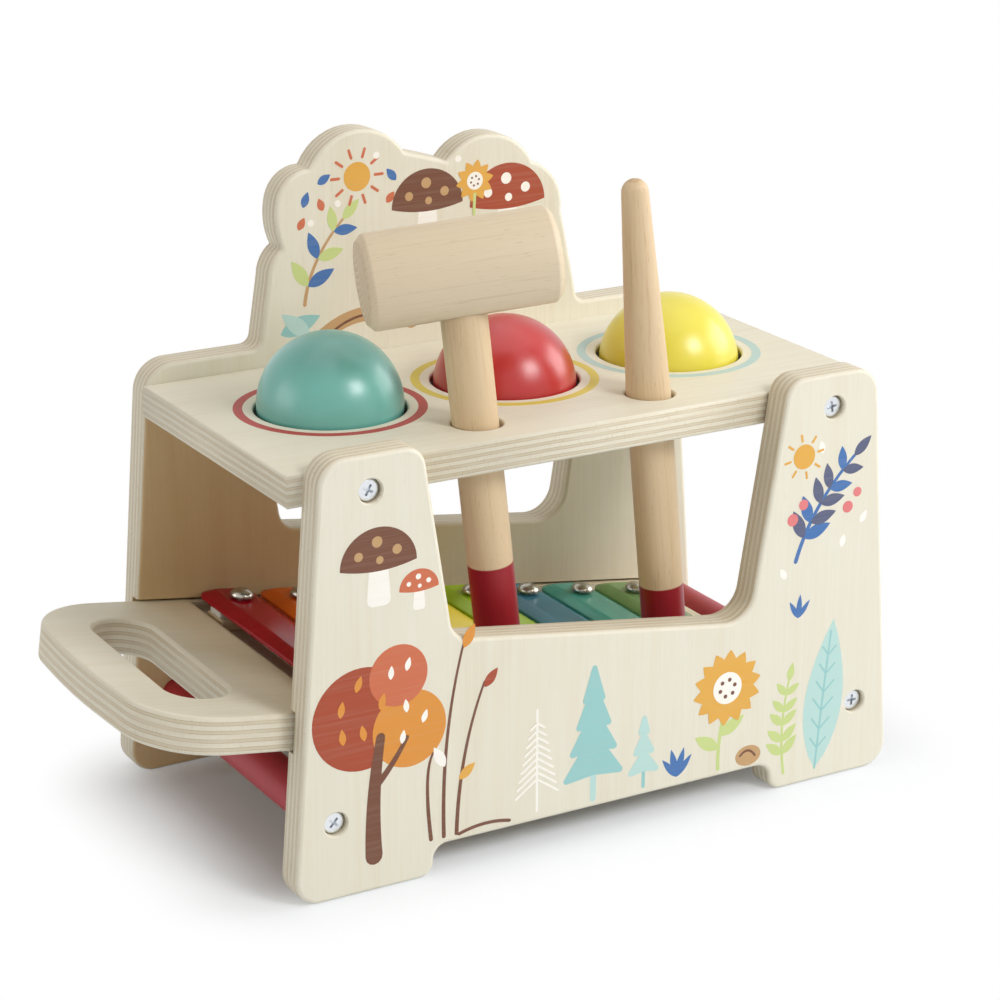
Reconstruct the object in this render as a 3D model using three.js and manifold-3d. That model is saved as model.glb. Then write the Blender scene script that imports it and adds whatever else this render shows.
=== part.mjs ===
// Xylophone pounding bench in millimetres: +Z is up, the front faces -Y, the tray pulls out towards -X.
import * as THREE from 'three';
import { mergeVertices } from 'three/addons/utils/BufferGeometryUtils.js';
import Module from 'manifold-3d';

const wasm = await Module();
wasm.setup();

// Sheet thicknesses and fits
const panelPly = 12;
const boardPly = 11.6;
const trayPly = 13.5;
const edgeChamfer = 0.8;
const looseGap = 0.3;
const overcut = 1;
const weldStep = 1e-4;

// Bench body
const innerDepth = 116;
const boardLength = 234;
const boardTop = 149;
const panelRise = 6.9;
const frontFootHalf = 123;
const rearFootHalf = 124.75;
const rearMiddle = -2.75;
const sideLean = 0.0784;
const footCorner = 9;
const archHalf = 69.7;
const archRise = 11;
const archFillet = 5.4;
const frontTopCorner = 10;
const rearTopCornerLeft = 12;
const rearTopCornerRight = 18;
const rearShift = -1.2;

// Windows between the uprights, with a sill that slopes like the tray
const slope = THREE.MathUtils.degToRad(8.3);
const windowHalfAtFloor = 47.9;
const windowFlare = 0.16;
const sillAtMiddle = 76.8;
const sillCornerLow = 11;
const sillCornerHigh = 8;
const uprightCorner = 8;
const rearWindowDrop = 9.4;
const rearWindowCorner = 12;

// Neck of the rear panel's crown
const neckLeft = -70.3;
const neckRight = 64.6;
const neckFillet = 4;

// Balls and their holes
const ballSpacing = 70;
const ballRow = 2.9;
const ballRadius = 25.8;
const ballClear = 1.1;
const ballRise = [1, -2.6, -3.9];
const ringWall = 3.9;
const ringHeight = 8.8;
const ringLip = 0.8;
const places = ['left', 'middle', 'right'];
const ballColours = [0x447c78, 0x9e2531, 0xe0d850];

// Sticks and their holes
const stickSpacing = 70;
const stickFromFront = 19.5;
const handleRadius = 8.1;
const beaterRadius = 8;
const stickRounding = 1.5;
const stickLift = 1.5;
const stickGap = 0.2;
const hammerLean = THREE.MathUtils.degToRad(6.6);
const hammerTurn = THREE.MathUtils.degToRad(-18);
const headRadius = 16.5;
const headLength = 66.5;
const headChamfer = 2.4;
const headAboveBoard = 55.5;
const socketDepth = 22;
const beaterLean = THREE.MathUtils.degToRad(5.6);
const beaterTop = 78.2;
const beaterTip = 4.8;

// Tray, measured along its slope from the middle of the bench
const trayAtMiddle = 49.8;
const trayBite = 2.8;
const trayToDowel = 3.3;
const gripReach = 30.5;
const trayGripBow = 4;
const trayGripCorner = 28;
const trayGripRound = 300;
const trayLowCorner = 3;
const trayChamfer = 1;
const slotToDeck = 37.2;
const slotRadius = 11.4;
const slotHalf = 41;
const deckDrop = 4;
const deckInset = 2;
const deckLength = 192.3;
const lowRim = 8.3;
const grooveSide = 1.6;
const grooveAbove = 1;
const grooveEnd = 1.2;

// Sound bars, their rails, felt and pins
const barCount = 8;
const barGap = 1.8;
const barsFromHighEnd = 1.4;
const barsFromLowEnd = 5.5;
const barEdge = 1.3;
const barThick = 3.4;
const barBevel = 5;
const barCorner = 7;
const barInset = 2;
const barShrink = 12.5;
const pinFromEnd = 16.8;
const railFromHighEnd = 2.3;
const railFromLowEnd = 4;
const railHalf = 6.5;
const feltHalf = 4.5;
const feltThick = 3;
const pinShank = 1.6;
const pinHead = 4.3;
const pinDome = 3.2;
const pinNeck = 0.8;
const pinCrown = 1.3;
const wellMargin = 2.5;
const wellFromRailHigh = 9;
const wellFromRailLow = 7;
const barColours = [0x8d0f22, 0xd9772a, 0xe6ab38, 0xe2cf4d, 0x86a32a, 0x3f6f7c, 0x3f8a7c, 0x6d8a4c];

// Cross dowels and screws
const dowelRadius = 7.5;
const dowelHeight = 27.9;
const dowelOut = 107.1;
const boardScrewOut = 92.5;
const screwShank = 1.7;
const screwHead = 4;
const screwHeadHeight = 2.6;
const screwSunk = 1.8;
const screwReach = 24;
const recessArm = 2.6;
const recessWidth = 1.1;
const recessDepth = 1.3;

// Colours of the plain pieces
const plyColour = 0xe3d9c2;
const woodColour = 0xd8bd97;
const redColour = 0xa52a35;
const feltColour = 0xe9e7e0;
const rubberColour = 0x2c2a28;
const steelColour = 0xb9b6ae;

// Facets round the circles
const ballFacets = 28;
const holeFacets = 32;
const stickFacets = 24;
const boreFacets = 10;
const headFacets = 12;

// Sizes that follow from those above
const half = innerDepth / 2;
const panelTop = boardTop + panelRise;
const boardBottom = boardTop - boardPly;
const boardMiddle = boardTop - boardPly / 2;
const rearWindowTop = boardBottom - rearWindowDrop;
const ballHole = ballRadius + ballClear;
const ringOuter = ballRadius + looseGap + ringWall;
const leanRoom = (radius, lean) => radius / Math.cos(lean) + (boardPly / 2) * Math.tan(lean);
const hammerHole = leanRoom(handleRadius, hammerLean) + stickGap;
const beaterHole = leanRoom(beaterRadius, beaterLean) + stickGap;
const stickRow = stickFromFront - half;
const trayHalf = half + trayBite;
const trayLowEnd = (dowelOut - dowelRadius - trayToDowel) / Math.cos(slope);
const deckHalf = half - deckInset;
const deckLowEnd = trayLowEnd - lowRim;
const deckHighEnd = deckLowEnd - deckLength;
const slotMiddle = deckHighEnd - slotToDeck;
const trayGripEnd = slotMiddle - gripReach;
const grooveLowEnd = trayLowEnd + grooveEnd;
const barPitch = (deckLength - barsFromHighEnd - barsFromLowEnd + barGap) / barCount;
const barWidth = barPitch - barGap;
const barFirst = deckHighEnd + barsFromHighEnd + barWidth / 2;
const barHalfFirst = half - barInset;
const barHalfLast = barHalfFirst - barShrink;
const railHighEnd = deckHighEnd + railFromHighEnd;
const railLowEnd = deckLowEnd - railFromLowEnd;
const wellHighEnd = railHighEnd + wellFromRailHigh;
const wellLowEnd = railLowEnd - wellFromRailLow;
const barTop = feltThick + barThick;
const pinTop = barTop + pinNeck + pinDome;

const group = new THREE.Group();

// A closed surface as a solid that can be cut.
function solid(geometry) {
  const bare = geometry.clone();
  bare.deleteAttribute('normal');
  bare.deleteAttribute('uv');
  const merged = mergeVertices(bare, weldStep);
  const index = merged.index.array;
  const kept = [];
  for (let i = 0; i < index.length; i += 3) {
    const [a, b, c] = [index[i], index[i + 1], index[i + 2]];
    if (a !== b && b !== c && c !== a) kept.push(a, b, c);
  }
  const vertProperties = Float32Array.from(merged.attributes.position.array);
  const build = (tri) => {
    const triVerts = Uint32Array.from(tri);
    return new wasm.Manifold(new wasm.Mesh({ numProp: 3, vertProperties, triVerts }));
  };
  const made = build(kept);
  return made.volume() < 0 ? build(kept.reverse()) : made;
}

// One named piece with its own colour.
function piece(name, body, colour, roughness = 0.6, metalness = 0) {
  const { vertProperties, triVerts } = body.getMesh();
  const geometry = new THREE.BufferGeometry();
  geometry.setAttribute('position', new THREE.Float32BufferAttribute(vertProperties, 3));
  geometry.setIndex(Array.from(triVerts));
  geometry.computeVertexNormals();
  const material = new THREE.MeshStandardMaterial({ color: colour, roughness, metalness });
  const mesh = new THREE.Mesh(geometry, material);
  mesh.name = name;
  group.add(mesh);
}

// Points along the circle from one point through a second to a third, without the first.
function arc([ax, ay], [bx, by], [cx, cy], steps = 7) {
  const d = 2 * (ax * (by - cy) + bx * (cy - ay) + cx * (ay - by));
  const [a2, b2, c2] = [ax * ax + ay * ay, bx * bx + by * by, cx * cx + cy * cy];
  const ux = (a2 * (by - cy) + b2 * (cy - ay) + c2 * (ay - by)) / d;
  const uy = (a2 * (cx - bx) + b2 * (ax - cx) + c2 * (bx - ax)) / d;
  const radius = Math.hypot(ax - ux, ay - uy);
  const turn = Math.sign((bx - ax) * (cy - ay) - (by - ay) * (cx - ax));
  const start = Math.atan2(ay - uy, ax - ux);
  let sweep = Math.atan2(cy - uy, cx - ux) - start;
  while (sweep * turn < 0) sweep += turn * 2 * Math.PI;
  const points = [];
  for (let i = 1; i <= steps; i += 1) {
    const angle = start + (sweep * i) / steps;
    points.push([ux + radius * Math.cos(angle), uy + radius * Math.sin(angle), 0]);
  }
  return points;
}

// An outline of corners [x, y, rounding], each rounding drawn as an arc.
function outline(corners, steps = 5) {
  const points = [];
  corners.forEach(([x, y, round], i) => {
    const corner = new THREE.Vector2(x, y);
    if (!round) {
      points.push(corner);
      return;
    }
    const before = corners[(i + corners.length - 1) % corners.length];
    const after = corners[(i + 1) % corners.length];
    const back = new THREE.Vector2(before[0] - x, before[1] - y).normalize();
    const on = new THREE.Vector2(after[0] - x, after[1] - y).normalize();
    const bend = back.angleTo(on) / 2;
    const reach = round / Math.tan(bend);
    const towards = back.clone().add(on).normalize();
    const centre = corner.clone().addScaledVector(towards, round / Math.sin(bend));
    const first = corner.clone().addScaledVector(back, reach).sub(centre);
    const last = corner.clone().addScaledVector(on, reach).sub(centre);
    const sweep = Math.atan2(first.cross(last), first.dot(last));
    for (let k = 0; k <= steps; k += 1) {
      const turned = first.clone().rotateAround(new THREE.Vector2(), (sweep * k) / steps);
      points.push(turned.add(centre));
    }
  });
  return points;
}

// A sheet of an outline with holes, its edges chamfered, lying from z = 0 up.
function sheet(points, thickness, holes = [], chamfer = edgeChamfer, steps = holeFacets / 2) {
  const shape = new THREE.Shape(points);
  shape.holes = holes;
  const geometry = new THREE.ExtrudeGeometry(shape, {
    depth: thickness - 2 * chamfer,
    bevelEnabled: chamfer > 0,
    bevelThickness: chamfer,
    bevelSize: chamfer,
    bevelOffset: -chamfer,
    bevelSegments: 1,
    curveSegments: steps,
  });
  return geometry.translate(0, 0, chamfer);
}

function circle(x, y, radius) {
  return new THREE.Path().absarc(x, y, radius, 0, 2 * Math.PI, true);
}

// A turned body of [radius, height] points, along +Z.
function turned(profile, segments) {
  const points = profile.map(([r, h]) => new THREE.Vector2(r, h));
  return new THREE.LatheGeometry(points, segments).rotateX(Math.PI / 2);
}

function rod(radius, from, to, segments = boreFacets) {
  return turned([[0, from], [radius, from], [radius, to], [0, to]], segments);
}

// Places on the slope of the tray: along it, across it and up from its top face.
const onSlope = new THREE.Matrix4()
  .makeTranslation(0, 0, trayAtMiddle)
  .multiply(new THREE.Matrix4().makeRotationY(slope));

function sloped(geometry) {
  return geometry.applyMatrix4(onSlope);
}

// Sheets that stand upright with their back face at a given depth
function upright(geometry, backFace) {
  return geometry.rotateX(Math.PI / 2).translate(0, backFace, 0);
}

// Foot line of a panel, from its left corner to its right corner.
function feet(footHalf, middle, shift) {
  return [
    [middle - footHalf, 0, footCorner],
    [shift - archHalf, 0, archFillet],
    [shift - archHalf, archRise, archFillet],
    [shift + archHalf, archRise, archFillet],
    [shift + archHalf, 0, archFillet],
    [middle + footHalf, 0, footCorner],
  ];
}

// Corners of a window: a point of a flared side, and where that side meets the sloping sill.
function windowSide(side, z, round, shift) {
  return [shift + side * (windowHalfAtFloor + windowFlare * z), z, round];
}

function sillCorner(side, round, shift) {
  const fall = Math.tan(slope);
  const atFloor = shift + side * windowHalfAtFloor;
  const z = (sillAtMiddle - fall * atFloor) / (1 + side * fall * windowFlare);
  return windowSide(side, z, round, shift);
}

// Screw places of a panel: two into the board and two into the cross dowels
const screwPlaces = [
  ['top_left', -boardScrewOut, boardMiddle],
  ['top_right', boardScrewOut, boardMiddle],
  ['low_left', -dowelOut, dowelHeight],
  ['low_right', dowelOut, dowelHeight],
];

// Cuts the screw holes and the tray groove into a panel whose inner face looks towards side.
function fitPanel(body, side) {
  let cut = body;
  const inner = -side * half;
  const outer = -side * (half + panelPly);
  const aim = side > 0 ? -Math.PI / 2 : Math.PI / 2;
  for (const [, x, z] of screwPlaces) {
    const bore = rod(screwShank + looseGap, -overcut, panelPly + overcut).rotateX(aim).translate(x, outer, z);
    const sunk = screwSunk + screwHeadHeight;
    const mouth = rod(screwHead + looseGap, -overcut, sunk, headFacets).rotateX(aim).translate(x, outer, z);
    cut = cut.subtract(solid(bore)).subtract(solid(mouth));
  }
  const grooveDepth = trayHalf - half + grooveSide;
  const grooveLength = grooveLowEnd - trayGripEnd;
  const grooveHeight = trayPly + looseGap + grooveAbove;
  const groove = new THREE.BoxGeometry(grooveLength, 2 * grooveDepth, grooveHeight);
  groove.translate(grooveLowEnd - grooveLength / 2, inner, grooveAbove - grooveHeight / 2);
  return cut.subtract(solid(sloped(groove)));
}

// Front panel
const frontTopHalf = frontFootHalf - sideLean * panelTop;
const frontOutline = outline([
  ...feet(frontFootHalf, 0, 0),
  [frontTopHalf, panelTop, frontTopCorner],
  windowSide(1, panelTop, uprightCorner, 0),
  sillCorner(1, sillCornerLow, 0),
  sillCorner(-1, sillCornerHigh, 0),
  windowSide(-1, panelTop, uprightCorner, 0),
  [-frontTopHalf, panelTop, frontTopCorner],
]);
const frontSheet = upright(sheet(frontOutline, panelPly), -half);
piece('front_panel', fitPanel(solid(frontSheet), 1), plyColour);

// Rear panel with its cloud crown
const rearTopHalf = rearFootHalf - sideLean * panelTop;
const above = (x, rise) => [x, panelTop + rise, 0];
const crownStart = above(57, 36.5);
const notchRight = above(44, 56.8);
const notchMiddle = above(7.5, 60.8);
const notchTop = above(-10, 65.9);
const notchLeft = above(-48.7, 64);
const lobeSide = above(-62.3, 53.6);
const notchLow = above(-60.6, 35.9);
const crown = [
  crownStart,
  ...arc(crownStart, above(53.3, 50.1), notchRight),
  ...arc(notchRight, above(26, 69), notchMiddle),
  ...arc(notchMiddle, above(-2, 63.8), notchTop, 3),
  ...arc(notchTop, above(-29, 76.3), notchLeft),
  ...arc(notchLeft, above(-57.3, 61.3), lobeSide, 5),
  ...arc(lobeSide, above(-63, 45.6), notchLow, 4),
  ...arc(notchLow, above(-64.6, 31.3), above(-66.3, 25.1), 4),
];
const rearOutline = outline([
  ...feet(rearFootHalf, rearMiddle, rearShift),
  [rearMiddle + rearTopHalf, panelTop, rearTopCornerRight],
  [neckRight, panelTop, neckFillet],
  ...crown,
  [neckLeft, panelTop, neckFillet],
  [rearMiddle - rearTopHalf, panelTop, rearTopCornerLeft],
]);
const rearWindow = new THREE.Path(outline([
  windowSide(-1, rearWindowTop, rearWindowCorner, rearShift),
  sillCorner(-1, sillCornerHigh, rearShift),
  sillCorner(1, sillCornerLow, rearShift),
  windowSide(1, rearWindowTop, rearWindowCorner, rearShift),
]));
const rearSheet = upright(sheet(rearOutline, panelPly, [rearWindow]), half + panelPly);
piece('rear_panel', fitPanel(solid(rearSheet), -1), plyColour);

// Top board with its holes, the seats of the grip rings and the pilot holes of the screws
const boardHalf = boardLength / 2;
const boardOutline = outline([
  [-boardHalf, -half, 0],
  [boardHalf, -half, 0],
  [boardHalf, half, 0],
  [-boardHalf, half, 0],
]);
const ballX = [-ballSpacing, 0, ballSpacing];
const stickX = [-stickSpacing / 2, stickSpacing / 2];
const boardHoles = [
  ...ballX.map((x) => circle(x, ballRow, ballHole)),
  circle(stickX[0], stickRow, hammerHole),
  circle(stickX[1], stickRow, beaterHole),
];
let board = solid(sheet(boardOutline, boardPly, boardHoles).translate(0, 0, boardBottom));
for (const x of ballX) {
  const seat = rod(ringOuter + looseGap, boardBottom - overcut, boardBottom + ringHeight, holeFacets);
  board = board.subtract(solid(seat.translate(x, ballRow, 0)));
}
const pilotReach = screwSunk + screwReach + looseGap - panelPly;
for (const side of [1, -1]) {
  for (const x of [-boardScrewOut, boardScrewOut]) {
    const pilot = rod(screwShank + looseGap, -overcut, pilotReach).rotateX(-side * Math.PI / 2);
    board = board.subtract(solid(pilot.translate(x, -side * half, boardMiddle)));
  }
}
piece('top_board', board, plyColour);

// Balls, and the rubber rings that grip them
ballX.forEach((x, i) => {
  const middle = boardTop + ballRise[i];
  const ball = new THREE.SphereGeometry(ballRadius, ballFacets, ballFacets / 2).rotateX(Math.PI / 2);
  piece(`ball_${places[i]}`, solid(ball.translate(x, ballRow, middle)), ballColours[i], 0.3);
  const grip = ballRadius + looseGap;
  const ring = turned([
    [grip + ringLip, 0],
    [ringOuter, 0],
    [ringOuter, ringHeight],
    [grip + ringLip, ringHeight],
    [grip, ringHeight - ringLip],
    [grip, ringLip],
    [grip + ringLip, 0],
  ], holeFacets);
  const seated = ring.translate(x, ballRow, boardBottom);
  piece(`grip_ring_${places[i]}`, solid(seated), rubberColour, 0.8);
});

// Height of a point over the top face of the tray
function overTray(x, z) {
  return x * Math.sin(slope) + (z - trayAtMiddle) * Math.cos(slope);
}

// Hammer, its axis through the middle of its hole
const hammerX = stickX[0] - (boardTop - boardMiddle) * Math.tan(hammerLean);
const hammerDrop = (overTray(hammerX, boardTop) - pinTop - stickLift) / Math.cos(slope - hammerLean);
const hammerPlace = new THREE.Matrix4()
  .makeTranslation(hammerX, stickRow, boardTop)
  .multiply(new THREE.Matrix4().makeRotationY(-hammerLean))
  .multiply(new THREE.Matrix4().makeRotationZ(hammerTurn));
const headBottom = headAboveBoard - headRadius;
const handleTop = headBottom + socketDepth;
const handle = turned([
  [0, -hammerDrop],
  [handleRadius - stickRounding, -hammerDrop],
  [handleRadius, stickRounding - hammerDrop],
  [handleRadius, handleTop],
  [0, handleTop],
], stickFacets);
piece('hammer_handle', solid(handle.applyMatrix4(hammerPlace)), woodColour);
const headHalf = headLength / 2;
const head = turned([
  [0, -headHalf],
  [headRadius - headChamfer, -headHalf],
  [headRadius, headChamfer - headHalf],
  [headRadius, headHalf - headChamfer],
  [headRadius - headChamfer, headHalf],
  [0, headHalf],
], holeFacets).rotateY(Math.PI / 2).translate(0, 0, headAboveBoard);
const socket = rod(handleRadius + looseGap, headBottom - headRadius, handleTop + looseGap, stickFacets);
const headBody = solid(head.applyMatrix4(hammerPlace)).subtract(solid(socket.applyMatrix4(hammerPlace)));
piece('hammer_head', headBody, woodColour);

// Beater, a stick that tapers to a round tip
const beaterX = stickX[1] - (boardTop - boardMiddle) * Math.tan(beaterLean);
const beaterDrop = (overTray(beaterX, boardTop) - pinTop - stickLift) / Math.cos(slope - beaterLean);
const tipSteps = [0, 1, 2, 3, 4].map((k) => (k * Math.PI) / 8);
const beater = turned([
  [0, -beaterDrop],
  [beaterRadius - stickRounding, -beaterDrop],
  [beaterRadius, stickRounding - beaterDrop],
  [beaterRadius, 0],
  ...tipSteps.map((a) => [beaterTip * Math.cos(a), beaterTop - beaterTip * (1 - Math.sin(a))]),
], stickFacets);
const beaterPlace = new THREE.Matrix4()
  .makeTranslation(beaterX, stickRow, boardTop)
  .multiply(new THREE.Matrix4().makeRotationY(-beaterLean));
piece('beater', solid(beater.applyMatrix4(beaterPlace)), woodColour);

// Places of the bars and pins on the tray
const bars = Array.from({ length: barCount }, (_, i) => {
  const share = i / (barCount - 1);
  const length = barHalfFirst + (barHalfLast - barHalfFirst) * share;
  return { at: barFirst + i * barPitch, length, pin: length - pinFromEnd };
});

// Distance of the pin rows from the middle of the tray at a place along it
function pinRow(at) {
  const [first, last] = [bars[0], bars[barCount - 1]];
  return first.pin + ((last.pin - first.pin) * (at - first.at)) / (last.at - first.at);
}

// Tray: a sheet with a hand slot, a lowered deck for the bars and a sound well under them
const slotStraight = slotHalf - slotRadius;
const slotShape = new THREE.Path()
  .absarc(slotMiddle, slotStraight, slotRadius, 0, Math.PI, false)
  .absarc(slotMiddle, -slotStraight, slotRadius, Math.PI, 2 * Math.PI, false)
  .closePath();
const trayOutline = outline([
  [trayLowEnd, -trayHalf, trayLowCorner],
  [trayLowEnd, trayHalf, trayLowCorner],
  [trayGripEnd + trayGripBow, trayHalf, trayGripCorner],
  [trayGripEnd, 0, trayGripRound],
  [trayGripEnd + trayGripBow, -trayHalf, trayGripCorner],
], 8);
const traySheet = sheet(trayOutline, trayPly, [slotShape], trayChamfer, 10).translate(0, 0, -trayPly);
const deck = new THREE.BoxGeometry(deckLowEnd - deckHighEnd, 2 * deckHalf, 2 * deckDrop);
deck.translate((deckLowEnd + deckHighEnd) / 2, 0, 0);
const wellHalf = (at) => pinRow(at) - railHalf - wellMargin;
const wellOutline = outline([
  [wellHighEnd, -wellHalf(wellHighEnd), wellMargin],
  [wellLowEnd, -wellHalf(wellLowEnd), wellMargin],
  [wellLowEnd, wellHalf(wellLowEnd), wellMargin],
  [wellHighEnd, wellHalf(wellHighEnd), wellMargin],
]);
const well = sheet(wellOutline, 3 * trayPly, [], 0).translate(0, 0, -2 * trayPly);
const tray = solid(sloped(traySheet)).subtract(solid(sloped(deck))).subtract(solid(sloped(well)));
piece('tray', tray, plyColour);

// Rails and felt strips along the two rows of pins
function strip(side, halfWidth, bottom, thickness) {
  const edge = (at, shift) => [at, side * (pinRow(at) + shift), 0];
  const points = outline([
    edge(railHighEnd, -halfWidth),
    edge(railLowEnd, -halfWidth),
    edge(railLowEnd, halfWidth),
    edge(railHighEnd, halfWidth),
  ]);
  let body = solid(sloped(sheet(points, thickness, [], 0).translate(0, 0, bottom)));
  for (const { at, pin } of bars) {
    const hole = rod(pinShank + looseGap, bottom - overcut, bottom + thickness + overcut);
    body = body.subtract(solid(sloped(hole.translate(at, side * pin, 0))));
  }
  return body;
}

const rows = [['front', -1], ['rear', 1]];
for (const [row, side] of rows) {
  piece(`bar_rail_${row}`, strip(side, railHalf, -deckDrop, deckDrop), woodColour);
  piece(`felt_strip_${row}`, strip(side, feltHalf, 0, feltThick), feltColour, 1);
}

// A body with equal rings of points at rising heights.
function stack(levels) {
  const count = levels[0].points.length;
  const position = [];
  const index = [];
  for (const { points, z } of levels) {
    for (const p of points) position.push(p.x, p.y, z);
  }
  for (let level = 0; level + 1 < levels.length; level += 1) {
    for (let k = 0; k < count; k += 1) {
      const [a, b] = [level * count + k, level * count + ((k + 1) % count)];
      index.push(a, b, b + count, a, b + count, a + count);
    }
  }
  const top = (levels.length - 1) * count;
  for (const [a, b, c] of THREE.ShapeUtils.triangulateShape(levels[0].points, [])) {
    index.push(a, c, b, a + top, b + top, c + top);
  }
  const geometry = new THREE.BufferGeometry();
  geometry.setAttribute('position', new THREE.Float32BufferAttribute(position, 3));
  geometry.setIndex(index);
  return geometry;
}

function barOutline(at, length, inset) {
  const [w, l] = [barWidth / 2 - inset, length - inset];
  const round = barCorner - inset;
  return outline([[at - w, -l, round], [at + w, -l, round], [at + w, l, round], [at - w, l, round]], 4);
}

// Sound bars with bevelled edges, and the domed pins that hold them
bars.forEach(({ at, length, pin }, i) => {
  const full = barOutline(at, length, 0);
  const top = barOutline(at, length, barBevel);
  let body = solid(sloped(stack([
    { points: full, z: feltThick },
    { points: full, z: feltThick + barEdge },
    { points: top, z: barTop },
  ])));
  for (const [row, side] of rows) {
    const hole = rod(pinShank + looseGap, feltThick - overcut, barTop + overcut).translate(at, side * pin, 0);
    body = body.subtract(solid(sloped(hole)));
    const domeBottom = barTop + pinNeck;
    const nail = turned([
      [0, looseGap - deckDrop],
      [pinShank, looseGap - deckDrop],
      [pinShank, domeBottom],
      [pinHead, domeBottom],
      [pinHead, domeBottom + pinDome / 3],
      [(pinHead + pinCrown) / 2, pinTop - pinDome / 5],
      [pinCrown, pinTop],
      [0, pinTop],
    ], headFacets);
    const placed = sloped(nail.translate(at, side * pin, 0));
    piece(`bar_pin_${row}_${i + 1}`, solid(placed), steelColour, 0.3, 1);
  }
  piece(`bar_${i + 1}`, body, barColours[i], 0.3, 0.4);
});

// Red cross dowels between the feet, with pilot holes in both ends
for (const [name, x] of [['left', -dowelOut], ['right', dowelOut]]) {
  const round = rod(dowelRadius, -half, half, stickFacets).rotateX(Math.PI / 2);
  let dowel = solid(round.translate(x, 0, dowelHeight));
  for (const side of [1, -1]) {
    const pilot = rod(screwShank + looseGap, -overcut, pilotReach).rotateX(-side * Math.PI / 2);
    dowel = dowel.subtract(solid(pilot.translate(x, -side * half, dowelHeight)));
  }
  piece(`cross_dowel_${name}`, dowel, redColour, 0.4);
}

// Screws with a cross recess, head outwards
for (const [row, side] of [['front', 1], ['rear', -1]]) {
  const aim = -side * Math.PI / 2;
  for (const [name, x, z] of screwPlaces) {
    const start = -side * (half + panelPly - screwSunk);
    const blank = turned([
      [0, 0],
      [screwHead, 0],
      [screwHead, screwHeadHeight],
      [screwShank, screwHeadHeight],
      [screwShank, screwReach],
      [0, screwReach],
    ], headFacets);
    let body = solid(blank.rotateX(aim).translate(x, start, z));
    for (const turn of [0, Math.PI / 2]) {
      const slot = new THREE.BoxGeometry(2 * recessArm, recessWidth, 2 * recessDepth).rotateZ(turn);
      body = body.subtract(solid(slot.rotateX(aim).translate(x, start, z)));
    }
    piece(`screw_${row}_${name}`, body, steelColour, 0.35, 1);
  }
}

// Origin on the floor in the middle of the whole object's outline
const box = new THREE.Box3().setFromObject(group);
const centre = box.getCenter(new THREE.Vector3());
for (const mesh of group.children) mesh.geometry.translate(-centre.x, -centre.y, -box.min.z);

export default group;
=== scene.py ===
from math import acos, atan2, copysign, cos, degrees, hypot, pi, radians, sin, tan

import bmesh
import bpy
from mathutils import Matrix, Vector
from mathutils.geometry import tessellate_polygon


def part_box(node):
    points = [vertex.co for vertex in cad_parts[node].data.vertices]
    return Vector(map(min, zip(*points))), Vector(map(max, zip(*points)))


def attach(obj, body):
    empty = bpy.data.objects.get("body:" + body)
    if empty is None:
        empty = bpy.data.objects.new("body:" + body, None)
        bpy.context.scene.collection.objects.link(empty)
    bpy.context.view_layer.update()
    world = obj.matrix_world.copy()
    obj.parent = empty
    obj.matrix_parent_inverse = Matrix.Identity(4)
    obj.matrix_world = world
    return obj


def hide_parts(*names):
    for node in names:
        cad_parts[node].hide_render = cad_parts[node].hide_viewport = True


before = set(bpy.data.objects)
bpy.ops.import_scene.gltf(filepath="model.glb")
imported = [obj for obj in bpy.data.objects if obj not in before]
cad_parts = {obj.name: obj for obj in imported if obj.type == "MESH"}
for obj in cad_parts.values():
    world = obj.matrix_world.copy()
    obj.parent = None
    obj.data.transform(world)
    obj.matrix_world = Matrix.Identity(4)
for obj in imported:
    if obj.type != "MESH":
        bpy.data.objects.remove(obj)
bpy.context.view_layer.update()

# Sizes in millimetres, measured from the middle of the bench on the floor
PANEL_PLY = 12.0
BOARD_PLY = 11.6
TRAY_PLY = 13.5
PLY_COUNT = 9
PLY_EDGE = 1.5
HALF = 58.0
BOARD_TOP = 149.0
BOARD_BOTTOM = BOARD_TOP - BOARD_PLY
BOARD_HALF = 117.0
BOARD_EDGE = 0.8
PANEL_TOP = 155.9
FRONT_FOOT = 123.0
REAR_FOOT = 124.75
REAR_MIDDLE = -2.75
REAR_SHIFT = -1.2
SIDE_LEAN = 0.0784
FOOT_ROUND = 9
ARCH_HALF = 69.7
ARCH_RISE = 11
ARCH_ROUND = 5.4
SLOPE = radians(8.3)
WINDOW_AT_FLOOR = 47.9
WINDOW_FLARE = 0.16
WINDOW_TOP = BOARD_BOTTOM - 9.4
SILL_AT_MIDDLE = 76.8
SILL_ROUND = {-1: 8, 1: 11}
BALL_X = (-70.0, 0.0, 70.0)
BALL_ROW = 2.9
BALL_RADIUS = 25.8
BALL_HOLE = 26.9
BALL_RISE = (1.0, -2.6, -3.9)
RUBBER_INNER = BALL_RADIUS + 0.3
RUBBER_OUTER = 30.0
RUBBER_HEIGHT = 8.8
SEAT_RADIUS = 30.3
RING_INNER, RING_OUTER = 30.6, 33.9
STICK_X = (-35.0, 35.0)
STICK_ROW = -38.5
STICK_RADIUS = (8.1, 8.0)
STICK_LEAN = (radians(6.6), radians(5.6))
STICK_PLAY = 0.2
STICK_FOOT_ROUND = 1.5
STICK_OVER_PINS = 1.5
DIP_HEIGHT = (98, 77)
HAMMER_TWIST = radians(-18)
HEAD_RADIUS = 16.5
HEAD_HALF = 33.25
HEAD_UP = 55.5
HANDLE_TOP = HEAD_UP - HEAD_RADIUS + 22
SOCKET_RADIUS = 8.4
BEATER_TOP = 78.2
BEATER_TIP = 4.8
TRAY_AT_MIDDLE = 49.8
TRAY_HALF = 60.8
TRAY_LOW_END = 97.32
DECK_LOW_END = TRAY_LOW_END - 8.3
DECK_HIGH_END = DECK_LOW_END - 192.3
DECK_HALF = HALF - 2
DECK_DEPTH = 4
SLOT_MIDDLE = DECK_HIGH_END - 37.2
SLOT_HALF = 41
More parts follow.
